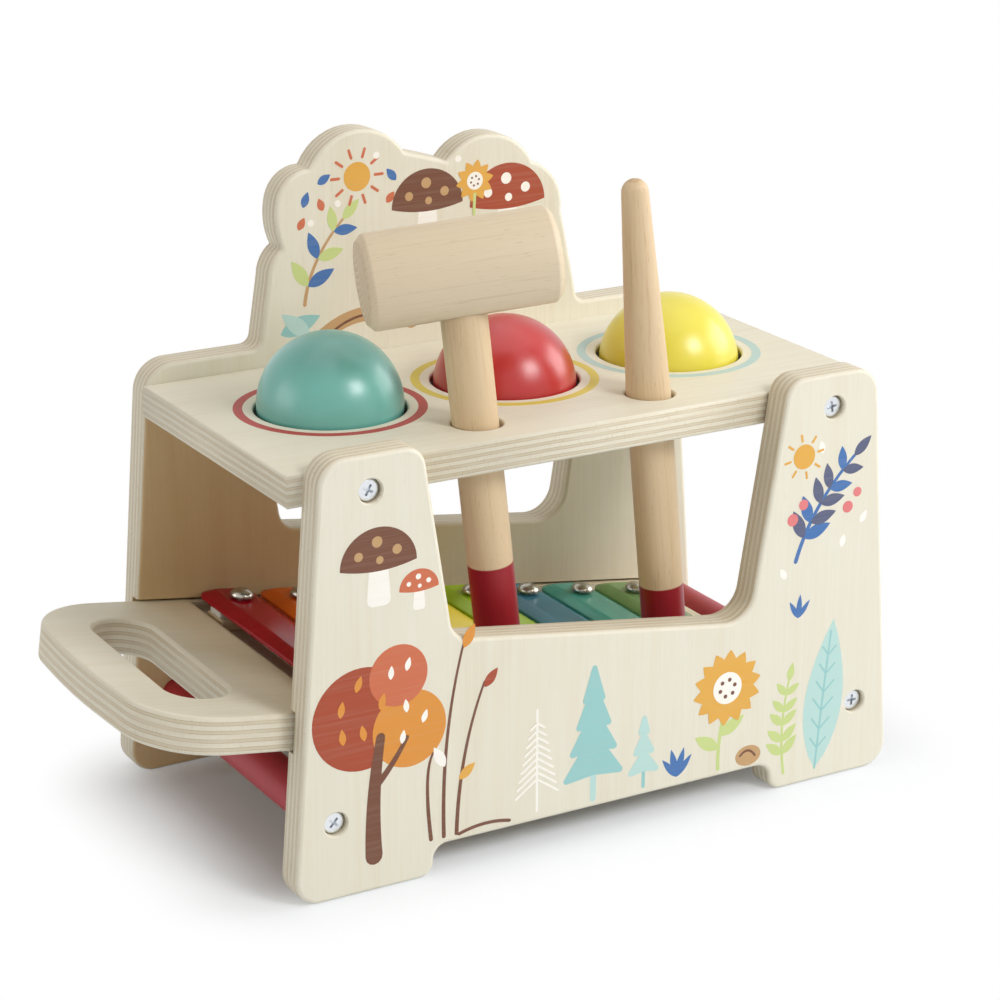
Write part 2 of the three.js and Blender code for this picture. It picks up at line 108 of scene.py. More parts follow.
SLOT_RADIUS = 11.4
GRIP_END = SLOT_MIDDLE - 30.5
GRIP_BOW = 4
GRIP_ROUND = 28
BOW_ROUND = 300
GROOVE_WALL = TRAY_HALF + 1.6
GROOVE_END = TRAY_LOW_END + 1.2
GROOVE_PLAY = 0.3
BAR_COUNT = 8
BAR_PITCH = 23.4
BAR_WIDTH = 21.6
BAR_ROUND = 7
BAR_FIRST = DECK_HIGH_END + 1.4 + BAR_WIDTH / 2
BAR_HALF_FIRST = 56.0
BAR_HALF_LAST = 43.5
BAR_TOP = 6.4
PIN_FROM_END = 16.8
PIN_RADIUS = 4.3
PIN_SHANK = 1.6
PIN_BASE = BAR_TOP + 0.8
PIN_TOP = PIN_BASE + 3.2
WELL_FROM_PINS = 9
RAIL_HALF = 6.5
FELT_HALF = 4.5
FELT_THICK = 3.0
STRIP_ROUND = 1.2
DOWEL_OUT = 107.1
DOWEL_HEIGHT = 27.9
DOWEL_RADIUS = 7.5
BOARD_SCREW_OUT = 92.5
SCREW_SUNK = 1.8
FILM_SUNK = 0.08
FILM_THICK = 0.13
FILM_STEP = 0.015
SHADOW_INSET = 14
SHADOW_FADE = 60

# Angles in degrees, distances in metres and light
SHARP_BEND = 40
WELD = 2e-6
WHITE = (1, 1, 1, 1)
AMBIENT = 0.36
AMBIENT_TINT = (1.0, 0.9, 0.76, 1)
SQUARE = ((-1, -1), (1, -1), (1, 1), (-1, 1))


def move(x, y, z):
    return Matrix.Translation((x, y, z))


def rotate(angle, axis):
    return Matrix.Rotation(angle, 4, axis)


board_low, board_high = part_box("top_board")
MIDDLE = (board_low[0] + board_high[0]) / 2
MIDDLE_MM = MIDDLE * 1000
ROW = move(MIDDLE, 0, 0) @ Matrix.Scale(0.001, 4)
TRAY = ROW @ move(0, 0, TRAY_AT_MIDDLE) @ rotate(SLOPE, "Y")
STAND = rotate(pi / 2, "X")
X_AXIS, Y_AXIS, Z_AXIS = Vector((1, 0, 0)), Vector((0, 1, 0)), Vector((0, 0, 1))
TRAY_UP = Vector((sin(SLOPE), 0, cos(SLOPE)))
TRAY_ALONG = Vector((cos(SLOPE), 0, -sin(SLOPE)))


def rgb(red, green, blue):
    """A colour of 0 to 255 as the linear colour of a shader."""
    out = []
    for value in (red, green, blue):
        v = value / 255
        out.append(v / 12.92 if v <= 0.04045 else ((v + 0.055) / 1.055) ** 2.4)
    return (*out, 1.0)


# Outlines
def unit(angle):
    return Vector((cos(angle), sin(angle)))


def arc(a, b, c, steps=14):
    """Points on the circle from a through b to c, without a."""
    (ax, ay), (bx, by), (cx, cy) = a, b, c
    d = 2 * (ax * (by - cy) + bx * (cy - ay) + cx * (ay - by))
    a2, b2, c2 = ax * ax + ay * ay, bx * bx + by * by, cx * cx + cy * cy
    ux = (a2 * (by - cy) + b2 * (cy - ay) + c2 * (ay - by)) / d
    uy = (a2 * (cx - bx) + b2 * (ax - cx) + c2 * (bx - ax)) / d
    radius = hypot(ax - ux, ay - uy)
    turn = copysign(1, (bx - ax) * (cy - ay) - (by - ay) * (cx - ax))
    start = atan2(ay - uy, ax - ux)
    sweep = atan2(cy - uy, cx - ux) - start
    while sweep * turn < 0:
        sweep += turn * 2 * pi
    angles = [start + sweep * i / steps for i in range(1, steps + 1)]
    return [(ux + radius * cos(t), uy + radius * sin(t), 0) for t in angles]


def rounded(corners, steps=10):
    """An outline of corners (x, y, rounding)."""
    points = []
    for i, (x, y, radius) in enumerate(corners):
        corner = Vector((x, y))
        if not radius:
            points.append(corner)
            continue
        before = (Vector(corners[i - 1][:2]) - corner).normalized()
        after = (Vector(corners[(i + 1) % len(corners)][:2]) - corner).normalized()
        half_angle = acos(max(-1, min(1, before.dot(after)))) / 2
        centre = corner + (before + after).normalized() * (radius / sin(half_angle))
        first = corner + before * (radius / tan(half_angle)) - centre
        last = corner + after * (radius / tan(half_angle)) - centre
        sweep = atan2(first.x * last.y - first.y * last.x, first.dot(last))
        for k in range(steps + 1):
            points.append(Matrix.Rotation(sweep * k / steps, 2) @ first + centre)
    return points


def ring_points(x, y, radius, count, squeeze=1.0):
    angles = [2 * pi * k / count for k in range(count)]
    return [Vector((x + radius * cos(a), y + radius * squeeze * sin(a))) for a in angles]


def wound(points, left):
    """The outline turning left or right."""
    area = sum(p.x * q.y - q.x * p.y for p, q in zip(points, points[1:] + points[:1]))
    return list(points) if (area > 0) == left else list(reversed(points))


# Bodies
def circle(bm, radius, height, segments):
    """A ring of vertices round z, or the one vertex of a pole."""
    if radius < 1e-6:
        return [bm.verts.new((0, 0, height))]
    angles = [2 * pi * k / segments for k in range(segments)]
    return [bm.verts.new((radius * cos(a), radius * sin(a), height)) for a in angles]


def skin(bm, rings):
    """Joins each ring of vertices to the next one with smooth faces."""
    for lower, upper in zip(rings, rings[1:]):
        for k in range(max(len(lower), len(upper))):
            ways = ((lower, k), (lower, k + 1), (upper, k + 1), (upper, k))
            corners = dict.fromkeys(ring[i % len(ring)] for ring, i in ways)
            bm.faces.new(list(corners)).smooth = True


def cap(bm, rings, up):
    """Closes the flat side of rings of vertices: the first is the outside, the others holes."""
    flat = [v for ring in rings for v in ring]
    for tri in tessellate_polygon([[v.co for v in ring] for ring in rings]):
        a, b, c = (flat[i] for i in tri)
        if ((b.co - a.co).cross(c.co - a.co).z > 0) != up:
            b, c = c, b
        if len({a, b, c}) == 3 and not bm.faces.get((a, b, c)):
            bm.faces.new((a, b, c))


def outward(points):
    """At each point of an outline, the way out that moves both of its sides by one."""
    normals = []
    for before, here, after in zip(points[-1:] + points, points, points[1:] + points[:1]):
        d1, d2 = (here - before).normalized(), (after - here).normalized()
        n1, n2 = Vector((d1.y, -d1.x)), Vector((d2.y, -d2.x))
        normals.append((n1 + n2) / max(0.35, 1 + n1.dot(n2)))
    return normals


def sheet(loops, thickness, edge=1.0, steps=4):
    """A sheet with rounded edges from z = 0 up: the first loop is the outside, the others holes."""
    bm = bmesh.new()
    quarter = [pi / 2 * k / steps for k in range(steps + 1)] if edge else []
    low = [(edge * (1 - sin(a)), edge * (1 - cos(a))) for a in quarter] or [(0, 0)]
    levels = low + [(inset, thickness - height) for inset, height in reversed(low)]
    bottoms, tops = [], []
    for i, loop in enumerate(loops):
        points = wound(loop, i == 0)
        sides = list(zip(points, outward(points)))
        rings = [[bm.verts.new((*(p - n * inset), height)) for p, n in sides] for inset, height in levels]
        skin(bm, rings)
        bottoms.append(rings[0])
        tops.append(rings[-1])
    cap(bm, bottoms, False)
    cap(bm, tops, True)
    return bm


def turned(profile, segments=64):
    """A body turned round z from (radius, height) points, with sharp rings at its sharp bends."""
    bm = bmesh.new()
    rings = [circle(bm, *point, segments) for point in profile]
    skin(bm, rings)
    for i in range(1, len(profile) - 1):
        before = Vector(profile[i]) - Vector(profile[i - 1])
        after = Vector(profile[i + 1]) - Vector(profile[i])
        if len(rings[i]) > 1 and degrees(before.angle(after, 0)) > SHARP_BEND:
            for pair in zip(rings[i], rings[i][1:] + rings[i][:1]):
                bm.edges.get(pair).smooth = False
    bmesh.ops.recalc_face_normals(bm, faces=bm.faces[:])
    return bm


def hoop(profile, segments=72):
    """A ring turned round z from a closed profile of (radius, height) points."""
    bm = bmesh.new()
    rings = [circle(bm, *point, segments) for point in profile]
    skin(bm, rings + rings[:1])
    bmesh.ops.recalc_face_normals(bm, faces=bm.faces[:])
    return bm


def block(x0, x1, y0, y1, z0, z1):
    bm = bmesh.new()
    bmesh.ops.create_cube(bm, size=1)
    size = Matrix.Diagonal((x1 - x0, y1 - y0, z1 - z0, 1))
    bm.transform(move((x0 + x1) / 2, (y0 + y1) / 2, (z0 + z1) / 2) @ size)
    return bm


def merge(target, source, matrix):
    """Adds a body to another and frees it."""
    source.transform(matrix)
    mesh = bpy.data.meshes.new("part")
    source.to_mesh(mesh)
    source.free()
    target.from_mesh(mesh)
    bpy.data.meshes.remove(mesh)


def softened(radius, height, rounding, steps=5):
    """Profile points of a rounded corner between a flat end at height and the side at radius."""
    angles = [pi / 2 * k / steps for k in range(steps + 1)]
    return [(radius - rounding * (1 - sin(a)), height + rounding * (1 - cos(a))) for a in angles]


def linked(name, bm, matrix):
    bm.transform(matrix)
    mesh = bpy.data.meshes.new(name)
    bm.normal_update()
    bm.to_mesh(mesh)
    bm.free()
    obj = bpy.data.objects.new(name, mesh)
    bpy.context.scene.collection.objects.link(obj)
    return obj


def cut(obj, cutters, matrix):
    """Cuts a set of bodies out of a piece."""
    for bm in cutters:
        tool = linked("tool", bm, matrix)
        modifier = obj.modifiers.new("cut", "BOOLEAN")
        modifier.operation = "DIFFERENCE"
        modifier.solver = "EXACT"
        modifier.object = tool
        depsgraph = bpy.context.evaluated_depsgraph_get()
        mesh = bpy.data.meshes.new_from_object(obj.evaluated_get(depsgraph))
        obj.modifiers.clear()
        old, tool_mesh = obj.data, tool.data
        obj.data = mesh
        bpy.data.objects.remove(tool)
        bpy.data.meshes.remove(tool_mesh)
        bpy.data.meshes.remove(old)
    clean = bmesh.new()
    clean.from_mesh(obj.data)
    bmesh.ops.remove_doubles(clean, verts=clean.verts[:], dist=WELD)
    bmesh.ops.dissolve_degenerate(clean, edges=clean.edges[:], dist=WELD)
    clean.to_mesh(obj.data)
    clean.free()
    obj.data.name = obj.name


def dress(obj, material, body, slot, *nodes):
    """Gives a piece its material and its body, and hides the solids that it stands for; the slot is not
    used.
    """
    obj.data.materials.clear()
    obj.data.materials.append(material)
    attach(obj, body)
    if nodes:
        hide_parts(*nodes)


def piece(node, look, bm, matrix, material, body, slot, cuts=()):
    """Builds the piece that stands for a solid, with cuts of (bodies, matrix) in it."""
    obj = linked(f"{node}_{look}", bm, matrix)
    for cutters, place in cuts:
        cut(obj, cutters, place)
    dress(obj, material, body, slot, node)


# Materials
class Nodes:
    """A node tree with a short way to add nodes to it."""

    def __init__(self, tree):
        self.tree = tree

    def new(self, kind):
        return self.tree.nodes.new(f"ShaderNode{kind}")

    def fill(self, socket, value):
        if hasattr(value, "is_linked"):
            self.tree.links.new(value, socket)
        else:
            socket.default_value = value

    def math(self, operation, a, b=0.0, c=0.0):
        node = self.new("Math")
        node.operation = operation
        for socket, value in zip(node.inputs, (a, b, c)):
            self.fill(socket, value)
        return node.outputs[0]

    def plus(self, a, b):
        return self.math("ADD", a, b)

    def minus(self, a, b):
        return self.math("SUBTRACT", a, b)

    def times(self, a, b):
        return self.math("MULTIPLY", a, b)

    def mix(self, factor, a, b, blend="MIX"):
        node = self.new("Mix")
        node.data_type = "RGBA"
        node.blend_type = blend
        self.fill(node.inputs["Factor"], factor)
        colours = [socket for socket in node.inputs if socket.type == "RGBA"]
        self.fill(colours[0], a)
        self.fill(colours[1], b)
        return [socket for socket in node.outputs if socket.type == "RGBA"][0]

    def seen(self):
        """1 for rays from the camera, off a gloss or through a clear piece, and 0 for the others."""
        rays = self.new("LightPath").outputs
        either = self.math("MAXIMUM", rays["Is Camera Ray"], rays["Is Glossy Ray"])
        return self.math("MAXIMUM", either, rays["Is Transmission Ray"])


class Shader(Nodes):
    """A new material with its surface and the point on the piece in millimetres."""

    def __init__(self, name, roughness=0.5, metallic=0.0, **sockets):
        self.material = bpy.data.materials.new(name)
        self.material.use_nodes = True
        super().__init__(self.material.node_tree)
        self.surface = self.tree.nodes["Principled BSDF"]
        self.set("Roughness", roughness)
        self.set("Metallic", metallic)
        for socket, value in sockets.items():
            self.set(socket.replace("_", " "), value)
        self.places = self.new("TexCoord").outputs
        self.point = self.vector("SCALE", self.places["Object"], scale=1000)

    def set(self, socket, value):
        self.fill(self.surface.inputs[socket], value)

    def vector(self, operation, a, b=(0, 0, 0), scale=1.0):
        node = self.new("VectorMath")
        node.operation = operation
        self.fill(node.inputs[0], a)
        if operation == "SCALE":
            self.fill(node.inputs["Scale"], scale)
        elif operation not in ("LENGTH", "ABSOLUTE"):
            self.fill(node.inputs[1], b)
        scalar = operation in ("DOT_PRODUCT", "LENGTH")
        return node.outputs["Value" if scalar else "Vector"]

    def along(self, axis):
        return self.vector("DOT_PRODUCT", self.point, axis)

    def facing(self, axis):
        return self.vector("DOT_PRODUCT", self.places["Normal"], axis)

    def stretched(self, axis, along, across):
        """The point with its part along an axis and its part across it scaled apart."""
        lengthwise = self.vector("SCALE", tuple(axis), scale=self.times(self.along(axis), along - across))
        return self.vector("ADD", self.vector("SCALE", self.point, scale=across), lengthwise)

    def noise(self, place, scale=1.0, detail=3.0, roughness=0.55, distortion=0.0):
        node = self.new("TexNoise")
        self.fill(node.inputs["Vector"], place)
        for socket, value in (("Scale", scale), ("Detail", detail), ("Roughness", roughness),
                              ("Distortion", distortion)):
            node.inputs[socket].default_value = value
        return node.outputs["Fac"]

    def ramp(self, factor, stops):
        node = self.new("ValToRGB")
        self.fill(node.inputs["Fac"], factor)
        elements = node.color_ramp.elements
        while len(elements) < len(stops):
            elements.new(0.5)
        for element, (position, colour) in zip(elements, stops):
            element.position = position
            element.color = colour
        return node.outputs["Color"]

    def between(self, value, low, high, to_low=0.0, to_high=1.0):
        node = self.new("MapRange")
        node.interpolation_type = "SMOOTHSTEP"
        for socket, given in zip(node.inputs, (value, low, high, to_low, to_high)):
            self.fill(socket, given)
        return node.outputs["Result"]

    def blend(self, tone, colour, value, low, high, share):
        """A tone with a share of another colour where a value is high."""
        return self.mix(self.between(value, low, high, 0, share), tone, colour)

    def finish(self, colour, height, strength, distance, rough=None):
        """Gives the surface its colour, its relief and where it varies its roughness."""
        self.set("Base Color", colour)
        if rough is not None:
            self.set("Roughness", rough)
        node = self.new("Bump")
        node.inputs["Strength"].default_value = strength
        node.inputs["Distance"].default_value = distance
        self.fill(node.inputs["Height"], height)
        self.set("Normal", node.outputs["Normal"])
        return self.material


def inside_painted_shade(s):
    """Painted shade on the rear panel: a warm, darker tint on its inside below the board, strongest at the
    left end.
    """
    inside = s.between(s.facing(Y_AXIS), -0.9, -0.6, 1, 0)
    below = s.between(s.along(Z_AXIS), BOARD_BOTTOM - 1, BOARD_BOTTOM + 1, 1, 0)
    return s.times(s.times(inside, below), s.between(s.along(X_AXIS), -80, 130, 1, 0.1))


def deck_painted_shade(s):
    """Painted shade on the tray: a warm, darker tint from its grip inwards."""
    deck_start = MIDDLE_MM + DECK_HIGH_END
    return s.between(s.along(X_AXIS), deck_start - 28, deck_start - 5, 0, 0.4)


def veneer(s, fine, grain):
    """The colour of a birch face: wide bands, clouds and short pores along the grain."""
    wide = s.noise(s.stretched(grain, 0.006, 0.11), detail=4, distortion=0.6)
    cloud = s.noise(s.stretched(grain, 0.01, 0.025), detail=2)
    pores = s.noise(s.stretched(grain, 0.12, 2.6), detail=2)
    bands = [(0.25, rgb(226, 220, 201)), (0.5, rgb(229, 225, 209)), (0.75, rgb(224, 217, 196))]
    face = s.ramp(wide, bands)
    face = s.blend(face, rgb(212, 197, 166), fine, 0.45, 0.72, 0.18)
    face = s.blend(face, rgb(233, 230, 216), cloud, 0.35, 0.7, 0.35)
    return s.blend(face, rgb(196, 176, 142), pores, 0.62, 0.74, 0.18)


def plies(s, speck, across, start, thickness):
    """The colour of a plywood edge: light and dark plies with a thin line between them."""
    depth = s.math("DIVIDE", s.minus(s.along(across), start), thickness)
    wave = s.noise(s.stretched(across, 0.0, 0.045), detail=3)
    layer = s.plus(s.times(depth, PLY_COUNT), s.times(s.minus(wave, 0.5), 0.5))
    phase = s.math("FRACT", s.times(layer, 0.5))
    light, dark, line = rgb(226, 220, 203), rgb(212, 201, 177), rgb(184, 167, 137)
    edge = s.ramp(phase, [(0.0, light), (0.5, light), (0.56, line), (0.63, dark),
                          (0.88, dark), (0.95, line), (1.0, light)])
    edge = s.blend(edge, rgb(184, 164, 132), speck, 0.5, 0.72, 0.28)
    patch = s.noise(s.stretched(across, 0.3, 0.05), detail=2)
    return s.blend(edge, rgb(219, 210, 189), patch, 0.42, 0.7, 0.6)


def plywood(name, across, start, thickness, grain, painted_shade=None):
    """Birch plywood with veneer on its faces, a painted shade tint where a mask says so, and plies on its
    edges.
    """
    s = Shader(name, roughness=0.5, Specular_IOR_Level=0.35)
    fine = s.noise(s.stretched(grain, 0.018, 0.9), detail=5, roughness=0.62)
    speck = s.noise(s.stretched(across, 0.6, 1.4), detail=3, roughness=0.7)
    face = veneer(s, fine, grain)
    # Painted shade: the veneer multiplied by a warm, darker tint where the mask is high
    if painted_shade is not None:
        face = s.mix(painted_shade(s), face, s.mix(1.0, face, rgb(250, 224, 188), "MULTIPLY"))
    flat = s.between(s.math("ABSOLUTE", s.facing(across)), 0.62, 0.86)
    colour = s.mix(flat, plies(s, speck, across, start, thickness), face)
    relief = s.plus(s.times(fine, 0.6), s.times(speck, 0.2))
    return s.finish(colour, relief, 0.12, 0.0002, s.between(fine, 0.3, 0.75, 0.42, 0.58))


def timber(name, axis, pith, pale, deep, dip=None):
    """Plain turned wood with its grain along an axis, and a red end below a place on that axis."""
    s = Shader(name, roughness=0.5, Specular_IOR_Level=0.35)
    warp = s.noise(s.stretched(axis, 0.012, 0.05), detail=2)
    offset = s.vector("SUBTRACT", s.point, pith)
    lengthwise = s.vector("SCALE", tuple(axis), scale=s.vector("DOT_PRODUCT", offset, axis))
    reach = s.vector("LENGTH", s.vector("SUBTRACT", offset, lengthwise))
    ring = s.math("FRACT", s.plus(s.times(reach, 0.42), s.times(warp, 2.2)))
    fine = s.noise(s.stretched(axis, 0.02, 1.1), detail=5, roughness=0.65)
    fleck = s.noise(s.stretched(axis, 0.16, 1.9), detail=2)
    tone = s.ramp(ring, [(0.0, pale), (0.55, pale), (0.9, deep), (1.0, pale)])
    tone = s.blend(pale, tone, fine, 0.4, 0.75, 0.45)
    tone = s.blend(tone, deep, fine, 0.5, 0.8, 0.5)
    tone = s.blend(tone, rgb(150, 112, 74), fleck, 0.63, 0.73, 0.24)
    end_grain = s.ramp(ring, [(0.0, deep), (0.8, rgb(166, 132, 94)), (1.0, deep)])
    ends = s.math("ABSOLUTE", s.facing(axis))
    tone = s.blend(tone, end_grain, ends, 0.75, 0.95, 0.5)
    rough = s.between(fine, 0.3, 0.75, 0.42, 0.58)
    if dip is not None:
        edge = s.plus(s.along(axis), s.times(warp, 0.6))
        painted = s.between(edge, dip - 0.25, dip + 0.25, 1, 0)
        red = s.blend(rgb(158, 30, 44), rgb(104, 14, 24), fine, 0.3, 0.7, 0.25)
        tone = s.mix(painted, tone, red)
        rough = s.minus(rough, s.times(painted, 0.14))
    return s.finish(tone, fine, 0.1, 0.0002, rough)


def lacquer(name, colour, shade, roughness=0.32, coat=0.4):
    """Sprayed paint on wood, through which the grain stands out a little."""
    s = Shader(name, roughness=roughness, Coat_Weight=coat, Coat_Roughness=0.27)
    cloud = s.noise(s.point, scale=0.05, detail=3)
    peel = s.noise(s.stretched(Z_AXIS, 0.06, 1.1), detail=3)
    colour = s.blend(colour, shade, cloud, 0.3, 0.75, 0.5)
    rough = s.between(peel, 0.3, 0.7, roughness - 0.03, roughness + 0.05)
    return s.finish(colour, peel, 0.012, 0.0003, rough)


def enamel(name, colour, shade):
    """Baked enamel on a metal bar."""
    s = Shader(name, roughness=0.22, Specular_IOR_Level=0.2)
    cloud = s.noise(s.point, scale=0.08, detail=2)
    dust = s.noise(s.point, scale=2.2, detail=3)
    colour = s.blend(colour, shade, cloud, 0.3, 0.75, 0.6)
    rough = s.between(dust, 0.35, 0.75, 0.19, 0.26)
    return s.finish(colour, cloud, 0.03, 0.0004, rough)


def plated(name, colour, roughness):
    """Plated steel with fine turning marks."""
    s = Shader(name, roughness=roughness, metallic=1.0)
    marks = s.noise(s.point, scale=3.5, detail=4, roughness=0.7)
    darker = (*(0.82 * c for c in colour[:3]), 1.0)
    colour = s.ramp(marks, [(0.3, colour), (0.7, darker)])
    rough = s.between(marks, 0.3, 0.7, roughness - 0.06, roughness + 0.1)
    return s.finish(colour, marks, 0.05, 0.0001, rough)


def felted(name):
    """Pressed wool felt."""
    s = Shader(name, roughness=0.95, Sheen_Weight=0.4, Sheen_Roughness=0.5)
    fibre = s.noise(s.point, scale=3.0, detail=5, roughness=0.75)
    tuft = s.noise(s.point, scale=0.7, detail=3)
    colour = s.ramp(fibre, [(0.3, rgb(206, 203, 194)), (0.6, rgb(240, 238, 231))])
    return s.finish(colour, s.plus(fibre, tuft), 0.7, 0.0004)


def rubbery(name):
    """Black rubber with a faint bloom."""
    s = Shader(name, roughness=0.7)
    bloom = s.noise(s.point, scale=1.2, detail=4)
    colour = s.ramp(bloom, [(0.3, rgb(42, 38, 36)), (0.7, rgb(66, 61, 57))])
    return s.finish(colour, bloom, 0.2, 0.0003)


def ink(name, colour):
    """Printing ink on veneer, which lets a little of the grain through."""
    s = Shader(name, roughness=0.5, Specular_IOR_Level=0.35)
    fine = s.noise(s.stretched(X_AXIS, 0.02, 0.9), detail=4)
    worn = (*(c * 0.86 + 0.1 * wood for c, wood in zip(colour[:3], (0.8, 0.74, 0.6))), 1.0)
    colour = s.blend(colour, worn, fine, 0.4, 0.72, 0.55)
    rough = s.between(fine, 0.3, 0.7, 0.44, 0.56)
    return s.finish(colour, fine, 0.05, 0.0002, rough)


tray_low_face = MIDDLE_MM * TRAY_UP.x + TRAY_AT_MIDDLE * TRAY_UP.z - TRAY_PLY
front_ply = plywood("front_plywood", Y_AXIS, -HALF - PANEL_PLY, PANEL_PLY, Z_AXIS)
rear_ply = plywood("rear_plywood", Y_AXIS, HALF, PANEL_PLY, Z_AXIS, inside_painted_shade)
board_ply = plywood("board_plywood", Z_AXIS, BOARD_BOTTOM, BOARD_PLY, X_AXIS)
tray_ply = plywood("tray_plywood", TRAY_UP, tray_low_face, TRAY_PLY, TRAY_ALONG, deck_painted_shade)
steel = plated("plated_steel", rgb(186, 181, 170), 0.26)
zinc = plated("zinc_steel", rgb(240, 244, 248), 0.3)
felt = felted("white_felt")
rubber = rubbery("grip_rubber")


# Panels
def feet(half, middle, shift):
    """The foot line of a panel about its middle, with an arch about a place of its own."""
    left, right = shift - ARCH_HALF, shift + ARCH_HALF
    return [
        (middle - half, 0, FOOT_ROUND), (left, 0, ARCH_ROUND), (left, ARCH_RISE, ARCH_ROUND),
        (right, ARCH_RISE, ARCH_ROUND), (right, 0, ARCH_ROUND), (middle + half, 0, FOOT_ROUND),
    ]


def window_side(side, z, radius, shift):
    return (shift + side * (WINDOW_AT_FLOOR + WINDOW_FLARE * z), z, radius)


def sill_corner(side, shift):
    fall = tan(SLOPE)
    z = (SILL_AT_MIDDLE - fall * (shift + side * WINDOW_AT_FLOOR)) / (1 + side * fall * WINDOW_FLARE)
    return window_side(side, z, SILL_ROUND[side], shift)


SCREWS = (
    ("top_left", -BOARD_SCREW_OUT, BOARD_TOP - BOARD_PLY / 2),
    ("top_right", BOARD_SCREW_OUT, BOARD_TOP - BOARD_PLY / 2),
    ("low_left", -DOWEL_OUT, DOWEL_HEIGHT),
    ("low_right", DOWEL_OUT, DOWEL_HEIGHT),
)
BORE_PROFILE = [
    (0, -1), (4.75, -1), (4.75, -0.01), (4.3, 0.45), (4.3, 4.4), (2, 4.4),
    (2, PANEL_PLY + 1), (0, PANEL_PLY + 1),
]


def into_panel(side, x, z, depth=0):
    """A place that points in from the outside of the front panel, side 1, or the rear one, side -1."""
    return move(x, -side * (HALF + PANEL_PLY - depth), z) @ rotate(-side * pi / 2, "X")


def panel_cuts(side):
    """The counterbores and the tray groove."""
    bores = bmesh.new()
    for _, x, z in SCREWS:
        merge(bores, turned(BORE_PROFILE, 40), into_panel(side, x, z))
    low, high = sorted((-side * DECK_HALF, -side * GROOVE_WALL))
    groove = block(GRIP_END, GROOVE_END, low, high, -TRAY_PLY - GROOVE_PLAY, 1)
    return ([bores], ROW), ([groove], TRAY)


front_top = FRONT_FOOT - SIDE_LEAN * PANEL_TOP
front_outline = rounded([
    *feet(FRONT_FOOT, 0, 0),
    (front_top, PANEL_TOP, 10),
    window_side(1, PANEL_TOP, 8, 0),
    sill_corner(1, 0),
    sill_corner(-1, 0),
    window_side(-1, PANEL_TOP, 8, 0),
    (-front_top, PANEL_TOP, 10),
])
front = sheet([front_outline], PANEL_PLY, PLY_EDGE)
front_place = ROW @ move(0, -HALF, 0) @ STAND
piece("front_panel", "ply", front, front_place, front_ply, "bench", "plywood", panel_cuts(1))


def above(x, rise):
    return (x, PANEL_TOP + rise)


crown_start, notch_right, notch_middle = above(57, 36.5), above(44, 56.8), above(7.5, 60.8)
notch_top, notch_left, lobe_side = above(-10, 65.9), above(-48.7, 64), above(-62.3, 53.6)
notch_low = above(-60.6, 35.9)
rear_top = REAR_FOOT - SIDE_LEAN * PANEL_TOP
rear_outline = rounded([
    *feet(REAR_FOOT, REAR_MIDDLE, REAR_SHIFT),
    (REAR_MIDDLE + rear_top, PANEL_TOP, 18),
    (64.6, PANEL_TOP, 4),
    (*crown_start, 0),
    *arc(crown_start, above(53.3, 50.1), notch_right),
    *arc(notch_right, above(26, 69), notch_middle),
    *arc(notch_middle, above(-2, 63.8), notch_top, 5),
    *arc(notch_top, above(-29, 76.3), notch_left),
    *arc(notch_left, above(-57.3, 61.3), lobe_side, 8),
    *arc(lobe_side, above(-63, 45.6), notch_low, 8),
    *arc(notch_low, above(-64.6, 31.3), above(-66.3, 25.1), 8),
    (-70.3, PANEL_TOP, 4),
    (REAR_MIDDLE - rear_top, PANEL_TOP, 12),
])
rear_window = rounded([
    window_side(-1, WINDOW_TOP, 12, REAR_SHIFT),
    sill_corner(-1, REAR_SHIFT),
    sill_corner(1, REAR_SHIFT),
    window_side(1, WINDOW_TOP, 12, REAR_SHIFT),
])
rear = sheet([rear_outline, rear_window], PANEL_PLY, PLY_EDGE)
rear_place = ROW @ move(0, HALF + PANEL_PLY, 0) @ STAND
piece("rear_panel", "ply", rear, rear_place, rear_ply, "bench", "plywood", panel_cuts(-1))

# Top board and the rings under its holes
board_loops = [[Vector((x * BOARD_HALF, y * HALF)) for x, y in SQUARE]]
board_loops += [ring_points(x, BALL_ROW, BALL_HOLE, 96) for x in BALL_X]
for x, radius, lean in zip(STICK_X, STICK_RADIUS, STICK_LEAN):
    room = radius / cos(lean) + BOARD_PLY / 2 * tan(lean) + STICK_PLAY
    board_loops.append(ring_points(x, STICK_ROW, room, 64))
SEAT_PROFILE = [(0, -1), (SEAT_RADIUS, -1), (SEAT_RADIUS, RUBBER_HEIGHT), (0, RUBBER_HEIGHT)]
seats = bmesh.new()
for x in BALL_X:
    merge(seats, turned(SEAT_PROFILE, 90), move(x, BALL_ROW, BOARD_BOTTOM))
board = sheet(board_loops, BOARD_PLY, BOARD_EDGE)
board_place = ROW @ move(0, 0, BOARD_BOTTOM)
piece("top_board", "ply", board, board_place, board_ply, "bench", "plywood", [([seats], ROW)])


def rubber_profile(inner, outer, high):
    return [
        (outer, 0.4), (outer, high - 0.4), (outer - 0.4, high), (inner + 0.9, high),
        (inner + 0.35, high - 0.3), (inner, high - 0.9), (inner, 0.9), (inner + 0.35, 0.3),
        (inner + 0.9, 0), (outer - 0.4, 0),
    ]


for x, place in zip(BALL_X, ("left", "middle", "right")):
    grip = hoop(rubber_profile(RUBBER_INNER, RUBBER_OUTER, RUBBER_HEIGHT))
    where = ROW @ move(x, BALL_ROW, BOARD_BOTTOM)
    piece(f"grip_ring_{place}", "rubber", grip, where, rubber, "bench", "rubber")

